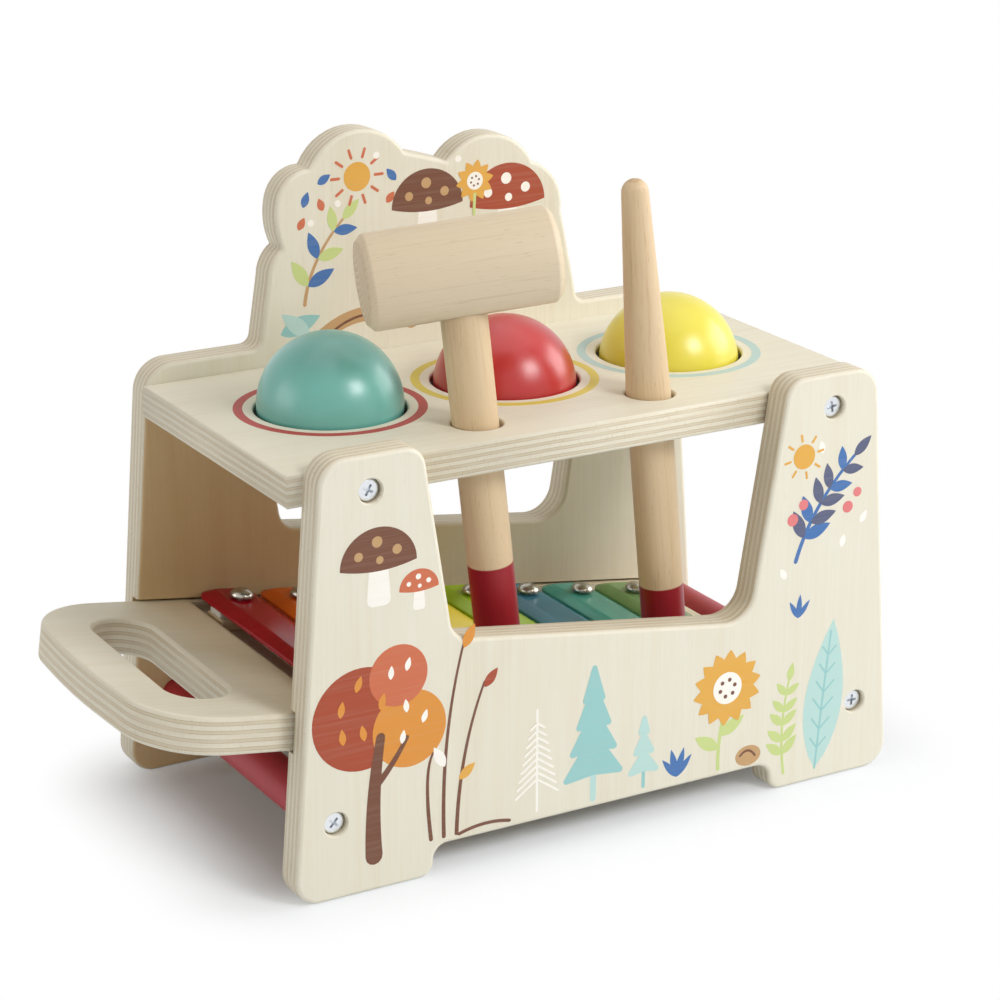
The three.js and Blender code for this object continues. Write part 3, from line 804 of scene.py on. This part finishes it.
# Balls, turned with a faint flat at each pole
BALL_PAINT = {
    "left": ("teal", rgb(112, 184, 175), rgb(106, 177, 168)),
    "middle": ("red", rgb(190, 44, 44), rgb(182, 38, 40)),
    "right": ("yellow", rgb(229, 217, 72), rgb(225, 211, 62)),
}
latitudes = [pi * (k / 48 - 0.5) for k in range(2, 47)]
ball_profile = [
    (0, -BALL_RADIUS + 0.06), (1.8, -BALL_RADIUS + 0.08),
    *((BALL_RADIUS * cos(a), BALL_RADIUS * sin(a)) for a in latitudes),
    (1.8, BALL_RADIUS - 0.08), (0, BALL_RADIUS - 0.06),
]
for i, (place, (hue, colour, shade)) in enumerate(BALL_PAINT.items()):
    tilt = rotate(0.5 + 0.7 * i, "X") @ rotate(0.4 - 0.5 * i, "Y")
    where = ROW @ move(BALL_X[i], BALL_ROW, BOARD_TOP + BALL_RISE[i]) @ tilt
    name, paint = f"ball_{place}", lacquer(f"{hue}_lacquer", colour, shade)
    piece(name, "painted", turned(ball_profile, 96), where, paint, name, f"ball_{hue}")


# Sticks
def over_tray(x, z):
    return x * sin(SLOPE) + (z - TRAY_AT_MIDDLE) * cos(SLOPE)


def row_axis(matrix, axis):
    return (matrix.to_3x3() @ axis).normalized()


def stick(i, twist=0.0):
    """A stick's turn, place on the board's top, drop below that, axis, point there and red end."""
    lean = STICK_LEAN[i]
    x = STICK_X[i] - BOARD_PLY / 2 * tan(lean)
    turn = rotate(-lean, "Y") @ rotate(twist, "Z")
    place = ROW @ move(x, STICK_ROW, BOARD_TOP) @ turn
    drop = (over_tray(x, BOARD_TOP) - PIN_TOP - STICK_OVER_PINS) / cos(SLOPE - lean)
    axis = row_axis(turn, Z_AXIS)
    point = Vector((MIDDLE_MM + x, STICK_ROW, BOARD_TOP))
    dip = axis.dot(point) - (BOARD_TOP - DIP_HEIGHT[i]) / cos(lean)
    return turn, place, drop, axis, point, dip


beech_pale, beech_deep = rgb(217, 193, 158), rgb(194, 161, 119)
hammer_radius, beater_radius = STICK_RADIUS
hammer_turn, hammer_place, drop, axis, point, dip = stick(0, HAMMER_TWIST)
handle = turned([
    (0, -drop),
    *softened(hammer_radius, -drop, STICK_FOOT_ROUND),
    (hammer_radius, HANDLE_TOP),
    (0, HANDLE_TOP),
])
pith = tuple(point + Vector((14, 9, 0)))
handle_wood = timber("handle_beech", axis, pith, beech_pale, beech_deep, dip)
piece("hammer_handle", "turned", handle, hammer_place, handle_wood, "hammer", "beech")

head_end = [
    (13.8, -HEAD_HALF), (14.25, 0.14 - HEAD_HALF), (16.2, 2.0 - HEAD_HALF),
    (16.42, 2.4 - HEAD_HALF), (HEAD_RADIUS, 2.9 - HEAD_HALF),
]
other_end = [(radius, -height) for radius, height in reversed(head_end)]
head = turned([(0, -HEAD_HALF), *head_end, *other_end, (0, HEAD_HALF)], 80)
head.transform(move(0, 0, HEAD_UP) @ rotate(pi / 2, "Y"))
socket_top = HANDLE_TOP + 0.3
socket = turned([(0, 10), (SOCKET_RADIUS, 10), (SOCKET_RADIUS, socket_top), (0, socket_top)], 50)
head_middle = hammer_place @ Vector((0, 0, HEAD_UP)) * 1000
pith = tuple(head_middle + Vector((5, 16, 24)))
head_axis = row_axis(hammer_turn, X_AXIS)
head_wood = timber("head_beech", head_axis, pith, rgb(219, 203, 176), rgb(203, 181, 149))
head_cuts = [([socket], hammer_place)]
piece("hammer_head", "turned", head, hammer_place, head_wood, "hammer", "beech", head_cuts)

_, beater_place, drop, axis, point, dip = stick(1)
tip_angles = [pi / 20 * k for k in range(10)]
beater = turned([
    (0, -drop),
    *softened(beater_radius, -drop, STICK_FOOT_ROUND),
    (beater_radius, -4), (beater_radius - 0.05, 0), (beater_radius - 0.18, 4),
    *((BEATER_TIP * cos(a), BEATER_TOP - BEATER_TIP * (1 - sin(a))) for a in tip_angles),
    (0, BEATER_TOP),
])
pith = tuple(point + Vector((-11, 12, 0)))
beater_wood = timber("beater_beech", axis, pith, beech_pale, beech_deep, dip)
piece("beater", "turned", beater, beater_place, beater_wood, "beater", "beech")


# Tray
def slot_points():
    """The hand slot in the grip: two half circles and the straights between them."""
    out = []
    for side, start in ((1, 0), (-1, 1)):
        middle = Vector((SLOT_MIDDLE, side * (SLOT_HALF - SLOT_RADIUS)))
        out += [middle + unit(pi * (start + k / 24)) * SLOT_RADIUS for k in range(25)]
    return out


bars = []
for i in range(BAR_COUNT):
    length = BAR_HALF_FIRST + (BAR_HALF_LAST - BAR_HALF_FIRST) * i / (BAR_COUNT - 1)
    bars.append((BAR_FIRST + i * BAR_PITCH, length, length - PIN_FROM_END))


def pin_row(at):
    """How far out the pins are at a place along the tray."""
    (first, _, near), (last, _, far) = bars[0], bars[-1]
    return near + (far - near) * (at - first) / (last - first)


tray_outline = rounded([
    (TRAY_LOW_END, -TRAY_HALF, 3),
    (TRAY_LOW_END, TRAY_HALF, 3),
    (GRIP_END + GRIP_BOW, TRAY_HALF, GRIP_ROUND),
    (GRIP_END, 0, BOW_ROUND),
    (GRIP_END + GRIP_BOW, -TRAY_HALF, GRIP_ROUND),
], 14)
tray = sheet([tray_outline, slot_points()], TRAY_PLY, PLY_EDGE, 6)
deck = block(DECK_HIGH_END, DECK_LOW_END, -DECK_HALF, DECK_HALF, -DECK_DEPTH, DECK_DEPTH)
well_ends = {-1: DECK_HIGH_END + 11.3, 1: DECK_LOW_END - 11}
well_sides = [(well_ends[end], side) for end, side in SQUARE]
well_outline = rounded([(x, side * (pin_row(x) - WELL_FROM_PINS), 2.5) for x, side in well_sides])
well = sheet([well_outline], 3 * TRAY_PLY, 0)
well.transform(move(0, 0, -2 * TRAY_PLY))
tray_place = TRAY @ move(0, 0, -TRAY_PLY)
piece("tray", "ply", tray, tray_place, tray_ply, "tray", "plywood", [([deck, well], TRAY)])


def strip(side, half_width, bottom, thickness, edge):
    """A strip along a row of pins."""
    ends = {-1: DECK_HIGH_END + 2.3, 1: DECK_LOW_END - 4}
    corners = [(ends[end], out * half_width) for end, out in SQUARE]
    outline = rounded([(x, side * (pin_row(x) + out), STRIP_ROUND) for x, out in corners], 4)
    body = sheet([outline], thickness, edge, 3)
    body.transform(move(0, 0, bottom))
    return body


pith = (MIDDLE_MM, 40, 30)
rail_wood = timber("rail_beech", TRAY_ALONG, pith, rgb(222, 202, 168), rgb(200, 172, 130))
for row, side in (("front", -1), ("rear", 1)):
    rail = strip(side, RAIL_HALF, -DECK_DEPTH, DECK_DEPTH, 0.5)
    piece(f"bar_rail_{row}", "wood", rail, TRAY, rail_wood, "tray", "beech")
    cushion = strip(side, FELT_HALF, 0, FELT_THICK, 0.8)
    piece(f"felt_strip_{row}", "wool", cushion, TRAY, felt, "tray", "felt")

# Sound bars
BAR_PAINT = (
    ("bar_red", (160, 4, 28), (148, 2, 24)),
    ("bar_orange", (218, 100, 16), (208, 90, 12)),
    ("bar_amber", (236, 166, 36), (228, 154, 28)),
    ("bar_yellow", (240, 218, 52), (234, 208, 42)),
    ("bar_lime", (158, 192, 26), (146, 180, 20)),
    ("bar_slate", (66, 132, 156), (58, 121, 146)),
    ("bar_teal", (82, 172, 156), (72, 160, 146)),
    ("bar_green", (134, 174, 108), (123, 162, 98)),
)
BAR_LEVELS = (
    (0.3, FELT_THICK), (0.08, FELT_THICK + 0.1), (0, FELT_THICK + 0.35), (0, FELT_THICK + 1.1),
    (0.15, FELT_THICK + 1.35), (0.5, FELT_THICK + 1.6),
    (4.4, BAR_TOP - 0.22), (4.9, BAR_TOP - 0.06), (5.5, BAR_TOP),
)
dome_angles = [pi / 20 * k for k in range(1, 10)]
PIN_PROFILE = [
    (0, -3.7), (PIN_SHANK, -3.7), (PIN_SHANK, PIN_BASE - 0.05),
    (3.9, PIN_BASE - 0.05), (4.25, PIN_BASE + 0.15), (PIN_RADIUS, PIN_BASE + 0.5),
    *((PIN_RADIUS * cos(a), PIN_BASE + 0.5 + 2.7 * sin(a)) for a in dome_angles),
    (0, PIN_TOP),
]


def bar_body(at, length):
    """A bar with a small round along its foot and a broad bevel up to its flat top."""
    bm = bmesh.new()
    rings = []
    for inset, z in BAR_LEVELS:
        half_width, half_length, radius = BAR_WIDTH / 2 - inset, length - inset, BAR_ROUND - min(inset, 5)
        corners = [(at + x * half_width, y * half_length, radius) for x, y in SQUARE]
        rings.append([bm.verts.new((*p, z)) for p in rounded(corners, 8)])
    skin(bm, rings)
    bm.faces.new(list(reversed(rings[0])))
    bm.faces.new(rings[-1])
    return bm


pins = bmesh.new()
for i, ((at, length, pin), (slot, colour, shade)) in enumerate(zip(bars, BAR_PAINT), 1):
    paint = enamel(f"{slot}_enamel", rgb(*colour), rgb(*shade))
    piece(f"bar_{i}", "enamel", bar_body(at, length), TRAY, paint, "tray", slot)
    for side in (-1, 1):
        merge(pins, turned(PIN_PROFILE, 40), move(at, side * pin, 0))
pin_nodes = [f"bar_pin_{row}_{i + 1}" for row in ("front", "rear") for i in range(BAR_COUNT)]
dress(linked("bar_pins_domed", pins, TRAY), steel, "tray", "steel", *pin_nodes)

# Cross dowels
dowel_paint = lacquer("red_dowel_lacquer", rgb(168, 32, 44), rgb(156, 26, 38), 0.42, 0.0)
dowel_end = softened(DOWEL_RADIUS, -HALF, 0.4, 3)
other_end = [(radius, -height) for radius, height in reversed(dowel_end)]
for place, x in (("left", -DOWEL_OUT), ("right", DOWEL_OUT)):
    dowel = turned([(0, -HALF), *dowel_end, *other_end, (0, HALF)])
    where = ROW @ move(x, 0, DOWEL_HEIGHT) @ STAND
    piece(f"cross_dowel_{place}", "painted", dowel, where, dowel_paint, "bench", "red_paint")

# Screws with a cross recess
SCREW_PROFILE = [
    (0, 0.0), (3.2, 0.0), (3.75, 0.12), (3.98, 0.4), (3.98, 0.8), (1.9, 2.55), (1.7, 2.6),
    (1.7, 21), (0.6, 24), (0, 24),
]


def recess(turn):
    """One arm of the recess, narrowing as it goes in."""
    bm = bmesh.new()
    mouth = [bm.verts.new((x * 2.5, y * 0.5, -1)) for x, y in SQUARE]
    deep = [bm.verts.new((x * 1.2, y * 0.38, 1.9)) for x, y in SQUARE]
    bm.faces.new(reversed(mouth))
    bm.faces.new(deep)
    for k in range(4):
        j = (k + 1) % 4
        bm.faces.new((mouth[k], mouth[j], deep[j], deep[k]))
    bm.transform(rotate(turn, "Z"))
    bmesh.ops.recalc_face_normals(bm, faces=bm.faces[:])
    return bm


for row, side in (("front", 1), ("rear", -1)):
    for k, (name, x, z) in enumerate(SCREWS):
        first_arm = 0.5 + 0.9 * k
        place = ROW @ into_panel(side, x, z, SCREW_SUNK)
        cross = [recess(first_arm), recess(first_arm + pi / 2)]
        screw = turned(SCREW_PROFILE, 48)
        piece(f"screw_{row}_{name}", "plated", screw, place, zinc, "bench", "steel", [(cross, place)])


# Prints: flat motifs in ink, a hair proud of the wood
def leaf(x, y, length, width, turn):
    """A pointed leaf from its base towards a direction in degrees."""
    a = radians(turn)
    along, side = unit(a), Vector((-sin(a), cos(a)))
    right, left = [], []
    for k in range(13):
        t = k / 12
        swell = max(width / 2 * sin(pi * t ** 0.85) ** 0.9, 0.02)
        here = Vector((x, y)) + along * (length * t)
        right.append(here - side * swell)
        left.append(here + side * swell)
    return right + left[::-1]


def bend(points, count):
    """A smooth line of a start, a pull and an end."""
    a, b, c = (Vector(p) for p in points)
    steps = [k / count for k in range(count + 1)]
    return [a * (1 - t) ** 2 + b * 2 * t * (1 - t) + c * t * t for t in steps]


def half_circle(centre, first):
    """Points of the half circle that starts at a point, without its ends."""
    return [Matrix.Rotation(pi * k / 6, 2) @ (first - centre) + centre for k in range(1, 6)]


def stroke(points, width, end=None):
    """A brush line with round ends."""
    end = width if end is None else end
    right, left = [], []
    last = len(points) - 1
    for k, p in enumerate(points):
        d = (points[min(k + 1, last)] - points[max(k - 1, 0)]).normalized()
        side = Vector((-d.y, d.x)) * ((width + (end - width) * k / last) / 2)
        right.append(p - side)
        left.append(p + side)
    return right + half_circle(points[-1], right[-1]) + left[::-1] + half_circle(points[0], left[0])


INK_COLOURS = {
    "teal": (152, 203, 203), "pale_teal": (186, 220, 216), "blue": (70, 116, 178), "slate": (92, 98, 128),
    "lime": (201, 216, 142), "ochre": (227, 172, 76), "orange": (222, 148, 62), "rust": (168, 76, 50),
    "terracotta": (206, 112, 78), "brown": (118, 76, 58), "tan": (196, 158, 112), "cream": (250, 247, 240),
    "rose": (226, 126, 128), "red_ring": (176, 66, 62), "yellow_ring": (217, 197, 84),
    "blue_ring": (182, 207, 206),
}
INKS = {name: ink(f"{name}_ink", rgb(*colour)) for name, colour in INK_COLOURS.items()}


class Print:
    """Collects flat shapes by colour and lays them on a face."""

    def __init__(self, name, matrix):
        self.name, self.matrix, self.shapes, self.taken = name, matrix, {}, []

    def add(self, colour, outline, holes=()):
        """Puts a shape on top of those that its box meets."""
        xs, ys = [p.x for p in outline], [p.y for p in outline]
        x0, x1, y0, y1 = min(xs), max(xs), min(ys), max(ys)
        under = [level for a0, a1, b0, b1, level in self.taken
                 if a0 < x1 and x0 < a1 and b0 < y1 and y0 < b1]
        level = max(under, default=-1) + 1
        self.taken.append((x0, x1, y0, y1, level))
        self.shapes.setdefault(colour, []).append((outline, level, holes))

    def leaves(self, colour, length, width, *places):
        """Leaves of one size at places of (x, y, direction)."""
        for x, y, turn in places:
            self.add(colour, leaf(x, y, length, width, turn))

    def discs(self, colour, count, *places):
        """Discs of (x, y, radius) with a count of points."""
        for x, y, radius in places:
            self.add(colour, ring_points(x, y, radius, count))

    def curve(self, colour, points, count, width, end=None):
        """A brush line through a bend."""
        self.add(colour, stroke(bend(points, count), width, end))

    def line(self, colour, start, end, width):
        self.add(colour, stroke([Vector(start), Vector(end)], width))

    def lay(self, body):
        for colour, shapes in self.shapes.items():
            bm = bmesh.new()
            for outline, level, holes in shapes:
                film = sheet([outline, *holes], FILM_THICK + FILM_STEP * level, 0)
                merge(bm, film, move(0, 0, -FILM_SUNK))
            obj = linked(f"{self.name}_{colour}", bm, self.matrix)
            dress(obj, INKS[colour], body, "plywood")


def tuft(page, x, y, height, spread=(-38, -12, 16, 40)):
    for k, turn in enumerate(spread):
        size = height * (1 - 0.12 * abs(k - (len(spread) - 1) / 2))
        page.leaves("blue", size, size * 0.26, (x, y, 90 - turn))


def heading(line, i):
    """The direction of a line in degrees where it comes to a point."""
    d = line[i] - line[i - 1]
    return degrees(atan2(d.y, d.x))


def sprig(page, points, stem, colours, pairs, size, width):
    """A bent stem with pairs of leaves that get smaller, and one leaf at its end."""
    line = bend(points, 28)
    page.add(stem, stroke(line, width, width * 0.7))
    for k in range(pairs):
        i = round((0.2 + 0.66 * k / max(1, pairs - 1)) * 28)
        scale = size * (1 - 0.3 * k / pairs)
        for n, turn in ((k, 48), (k + 1, -48)):
            page.leaves(colours[n % len(colours)], scale, scale * 0.42, (*line[i], heading(line, i) + turn))
    page.leaves(colours[0], size * 0.8, size * 0.34, (*line[-1], heading(line, -1)))


def layered_fir(page, x, y, height, width, colour, trunk, tiers=4):
    page.line(trunk, (x, y), (x, y + height * 0.4), width * 0.09)
    for k in range(tiers):
        low = y + height * (0.14 + 0.72 * k / tiers)
        half = width / 2 * (1 - 0.62 * k / (tiers - 1))
        top = low + height * 0.36 if k < tiers - 1 else y + height
        corners = [(x - half, low, 1.2), (x, low + 1.6, 3), (x + half, low, 1.2), (x, top, 1.0)]
        page.add(colour, rounded(corners, 5))


def line_fir(page, x, y, height, width, rows=9):
    page.line("cream", (x, y), (x, y + height), 0.9)
    for k in range(rows):
        at = y + height * (0.16 + 0.74 * k / rows)
        half = width / 2 * (1 - 0.75 * k / rows)
        for side in (-1, 1):
            page.line("cream", (x, at + half * 0.7), (x + side * half, at), 0.75)


def toadstool(page, x, y, size, colour, dots):
    def at(u, v):
        return Vector((x + u * size, y + v * size))

    stem = [(-0.2, 0, 0.1), (0.2, 0, 0.1), (0.14, 0.75, 0), (-0.14, 0.75, 0)]
    page.add("cream", rounded([(*at(u, v), r * size) for u, v, r in stem], 5))
    angles = [pi * k / 28 for k in range(29)]
    dome = [at(0.62 * cos(a), 0.62 + 0.58 * sin(a)) for a in angles]
    brim = bend((at(-0.62, 0.62), at(0, 0.45), at(0.62, 0.62)), 12)
    page.add(colour, dome + brim[1:-1])
    for u, v, r in ((-0.32, 0.8, 0.07), (-0.02, 0.98, 0.085), (0.3, 0.82, 0.075), (0.02, 0.7, 0.06)):
        page.discs(dots, 18, (*at(u, v), r * size))


def blossom(page, x, y, radius, petals):
    for k in range(petals):
        turn = 360 * k / petals + 8
        base = Vector((x, y)) + unit(radians(turn)) * (radius * 0.2)
        page.leaves("ochre", radius * 0.8, radius * 0.46, (*base, turn))
    page.discs("cream", 32, (x, y, radius * 0.42))
    for k in range(6):
        seed = Vector((x, y)) + unit(radians(60 * k + 15)) * (radius * 0.22)
        page.discs("brown", 12, (*seed, radius * 0.055))


def sun(page, x, y, radius, count, rays, first, reach, width, ray_colour):
    """A disc with rays that reach from one distance to another."""
    page.discs("ochre", count, (x, y, radius))
    for k in range(rays):
        d = unit(radians(360 / rays * k + first))
        start, end = (Vector((x, y)) + d * distance for distance in reach)
        page.line(ray_colour, start, end, width)


page = Print("front_print", ROW @ move(0, -HALF - PANEL_PLY, 0) @ STAND)

# Left upright: toadstools above, a round autumn tree with tall grass below
toadstool(page, -90, 103, 23, "brown", "tan")
toadstool(page, -75, 99, 12, "terracotta", "cream")
page.discs("rust", 48, (-97, 64, 18.5))
page.discs("orange", 44, (-79, 57, 14))
page.discs("terracotta", 40, (-83, 77, 11))
page.curve("brown", ((-93, 13), (-94, 34), (-90, 56)), 14, 6.5, 3.4)
page.curve("brown", ((-92.5, 38), (-86, 44), (-80, 54)), 10, 2.6, 1.6)
orange_leaves = ((-105, 66, 80), (-99, 74, 70), (-96, 56, 100), (-104, 56, 95), (-90, 66, 75))
page.leaves("orange", 6, 2.6, *orange_leaves)
cream_leaves = ((-82, 52, 80), (-74, 58, 70), (-80, 63, 95), (-86, 76, 85), (-80, 78, 75))
page.leaves("cream", 5, 2.2, *cream_leaves)
page.curve("brown", ((-66, 14), (-67, 52), (-58, 84)), 20, 1.5, 0.8)
page.curve("brown", ((-61, 14), (-60, 44), (-50, 68)), 20, 1.5, 0.8)
page.curve("brown", ((-71, 14), (-74, 40), (-70, 46)), 20, 1.5, 0.8)
page.leaves("orange", 9, 4, (-58, 82, 62))
page.leaves("rust", 8, 3.6, (-50, 66, 50))
page.leaves("cream", 9, 4, (-65.5, 40, 118))
page.leaves("ochre", 8, 3.6, (-60, 34, 38))
page.curve("brown", ((-60, 13.5), (-50, 16.5), (-40, 14)), 12, 1.2)

# Middle: firs, a tuft, an ochre blossom and a nut
line_fir(page, -29, 15, 38, 17)
layered_fir(page, -6, 14.5, 53, 27, "teal", "pale_teal")
layered_fir(page, 15, 14.5, 30, 16, "pale_teal", "teal", 3)
tuft(page, 29, 15, 12)
page.curve("lime", ((47, 14), (46, 24), (50, 40)), 14, 1.5)
page.leaves("lime", 12, 5, (46.8, 22, 148), (47.4, 27, 30))
blossom(page, 50, 45, 14.5, 14)
page.add("tan", ring_points(60, 16.5, 5.5, 32, 0.72))
page.curve("brown", ((56.5, 17), (60, 20.5), (63, 16)), 12, 0.9)

# Right upright: a fern and a big leaf below, a tuft, a twig with berries and a sun above
sprig(page, ((76, 6), (73, 24), (77, 42)), "lime", ("lime",), 5, 9, 1.2)
page.leaves("pale_teal", 58, 17, (90, 5, 84))
page.curve("teal", ((90, 5), (92, 30), (95, 58)), 14, 0.9)
for k in range(6):
    base = Vector((90.6 + 0.72 * k, 13 + 7.2 * k))
    reach = 6.6 - 0.75 * abs(k - 2)
    for turn in (42, 126):
        page.line("teal", base, base + unit(radians(turn)) * reach, 0.7)
tuft(page, 80, 66, 9, (-30, 4, 38))
sprig(page, ((78, 88), (84, 108), (102, 124)), "blue", ("slate", "blue", "slate"), 5, 12, 1.7)
page.discs("rose", 22, (76, 104, 2.3), (80.5, 109, 2.0), (100, 105, 2.2), (104, 110, 1.8))
page.leaves("cream", 5, 2.6, (88, 127, 100), (106, 98, 60), (74, 82, 120), (98, 90, 80))
sun(page, 80, 127, 4.6, 32, 8, 10, (6, 8.2), 0.9, "ochre")
page.lay("bench")

# Crown: a sprig over a branch, a sun with leaves and dots, toadstools and a flower
page = Print("crown_print", ROW @ move(0, HALF, 0) @ STAND)
sprig(page, ((-52, 170), (-50, 186), (-36, 200)), "tan", ("lime", "blue"), 3, 12, 1.4)
page.leaves("teal", 17, 7, (-62, 160, 18))
page.leaves("pale_teal", 15, 6, (-50, 158, 140))
page.curve("tan", ((-48, 155), (-30, 170), (-8, 158)), 18, 5.5)
page.curve("brown", ((-40, 159), (-30, 165), (-20, 162)), 12, 1.0)
sun(page, -30, 215, 5.4, 36, 10, 0, (7.4, 10.4), 1.1, "terracotta")
page.leaves("blue", 6, 3.2, (-52, 206, 70), (-46, 214, 30), (-14, 212, 130))
page.leaves("terracotta", 5, 3, (-54, 198, 60), (-44, 204, 110), (-18, 204, 50))
for x, y in ((-49, 200), (-38, 206), (-22, 222), (-12, 205), (0, 212), (12, 217)):
    page.discs("cream", 16, (x, y, 1.3))
toadstool(page, -1, 186, 24, "brown", "tan")
toadstool(page, 33, 182, 26, "rust", "cream")
blossom(page, 19, 208, 8, 10)
page.curve("lime", ((19, 178), (18, 190), (19, 203)), 12, 1.2)
page.leaves("lime", 12, 5, (46, 176, 64))
page.leaves("teal", 13, 5.4, (52, 168, 80))
page.lay("bench")

# Rings round the ball holes
page = Print("board_print", ROW @ move(0, 0, BOARD_TOP))
for x, colour in zip(BALL_X, ("red_ring", "yellow_ring", "blue_ring")):
    hole = ring_points(x, BALL_ROW, RING_INNER, 96)
    page.add(colour, ring_points(x, BALL_ROW, RING_OUTER, 96), [hole])
page.lay("bench")


# Floor, light and camera
def floor():
    """A pale floor that keeps the shadow near the bench and fades to the white backdrop."""
    bm = bmesh.new()
    bmesh.ops.create_grid(bm, x_segments=8, y_segments=8, size=6)
    obj = linked("floor", bm, Matrix.Identity(4))
    s = Shader("floor_paper", roughness=0.9, Specular_IOR_Level=0.1)
    tooth = s.noise(s.point, scale=0.02, detail=2)
    s.set("Base Color", s.ramp(tooth, [(0.3, (0.82, 0.87, 0.93, 1)), (0.7, (0.84, 0.89, 0.95, 1))]))
    outside = s.vector("ABSOLUTE", s.vector("SUBTRACT", s.point, (MIDDLE_MM, 0, 0)))
    outside = s.vector("SUBTRACT", outside, (FRONT_FOOT - SHADOW_INSET, HALF - SHADOW_INSET, 0))
    away = s.vector("LENGTH", s.vector("MAXIMUM", outside, (0, 0, 0)))
    white = s.new("Emission")
    white.inputs["Color"].default_value = WHITE
    white.inputs["Strength"].default_value = 1
    pick = s.new("MixShader")
    faded = s.times(s.seen(), s.between(away, 0, SHADOW_FADE))
    for socket, value in zip(pick.inputs, (faded, s.surface.outputs[0], white.outputs[0])):
        s.fill(socket, value)
    s.fill(s.tree.nodes["Material Output"].inputs["Surface"], pick.outputs[0])
    obj.data.materials.append(s.material)


LIGHT_AIM = Vector((0, 0, 0.09))
LIGHTS = (
    ("key", (0.5, -1.21, 1.06), (0.5, 0.5), 12.2),
    ("top", (0.2, 0.1, 1.7), (1.6, 1.6), 6),
    ("left", (-1.4, 0.35, 0.5), (0.9, 0.7), 4.2),
    ("right", (1.3, -0.3, 0.6), (0.9, 0.7), 8.5),
)

floor()
scene = bpy.context.scene
for name, place, size, power in LIGHTS:
    lamp = bpy.data.lights.new(name, "AREA")
    lamp.shape = "RECTANGLE"
    lamp.size, lamp.size_y = size
    lamp.energy = power
    softbox = bpy.data.objects.new(name, lamp)
    softbox.location = place
    softbox.rotation_euler = (LIGHT_AIM - Vector(place)).to_track_quat("-Z", "Y").to_euler()
    scene.collection.objects.link(softbox)

world = bpy.data.worlds.new("studio")
scene.world = world
world.use_nodes = True
sky = world.node_tree.nodes["Background"].inputs
air = Nodes(world.node_tree)
seen = air.seen()
air.fill(sky["Strength"], air.math("MULTIPLY_ADD", seen, 1 - AMBIENT, AMBIENT))
air.fill(sky["Color"], air.mix(seen, AMBIENT_TINT, WHITE))

lens = bpy.data.cameras.new("camera")
lens.sensor_width = 36
lens.lens = 104.694
lens.shift_x = 0.04873
lens.shift_y = 0.01502
lens.clip_end = 20
camera = bpy.data.objects.new("camera", lens)
right = Vector((0.87278287, -0.48810215, -0.00252006))
down = Vector((-0.16362466, -0.28770777, -0.94363722))
ahead = Vector((0.45986631, 0.82400275, -0.33097196))
turn = Matrix((right, -down, -ahead)).transposed().to_4x4()
camera.matrix_world = Matrix.Translation(ROW @ Vector((-503.89, -860.49, 447.54))) @ turn
scene.collection.objects.link(camera)
scene.camera = camera
scene.view_settings.view_transform = "Standard"
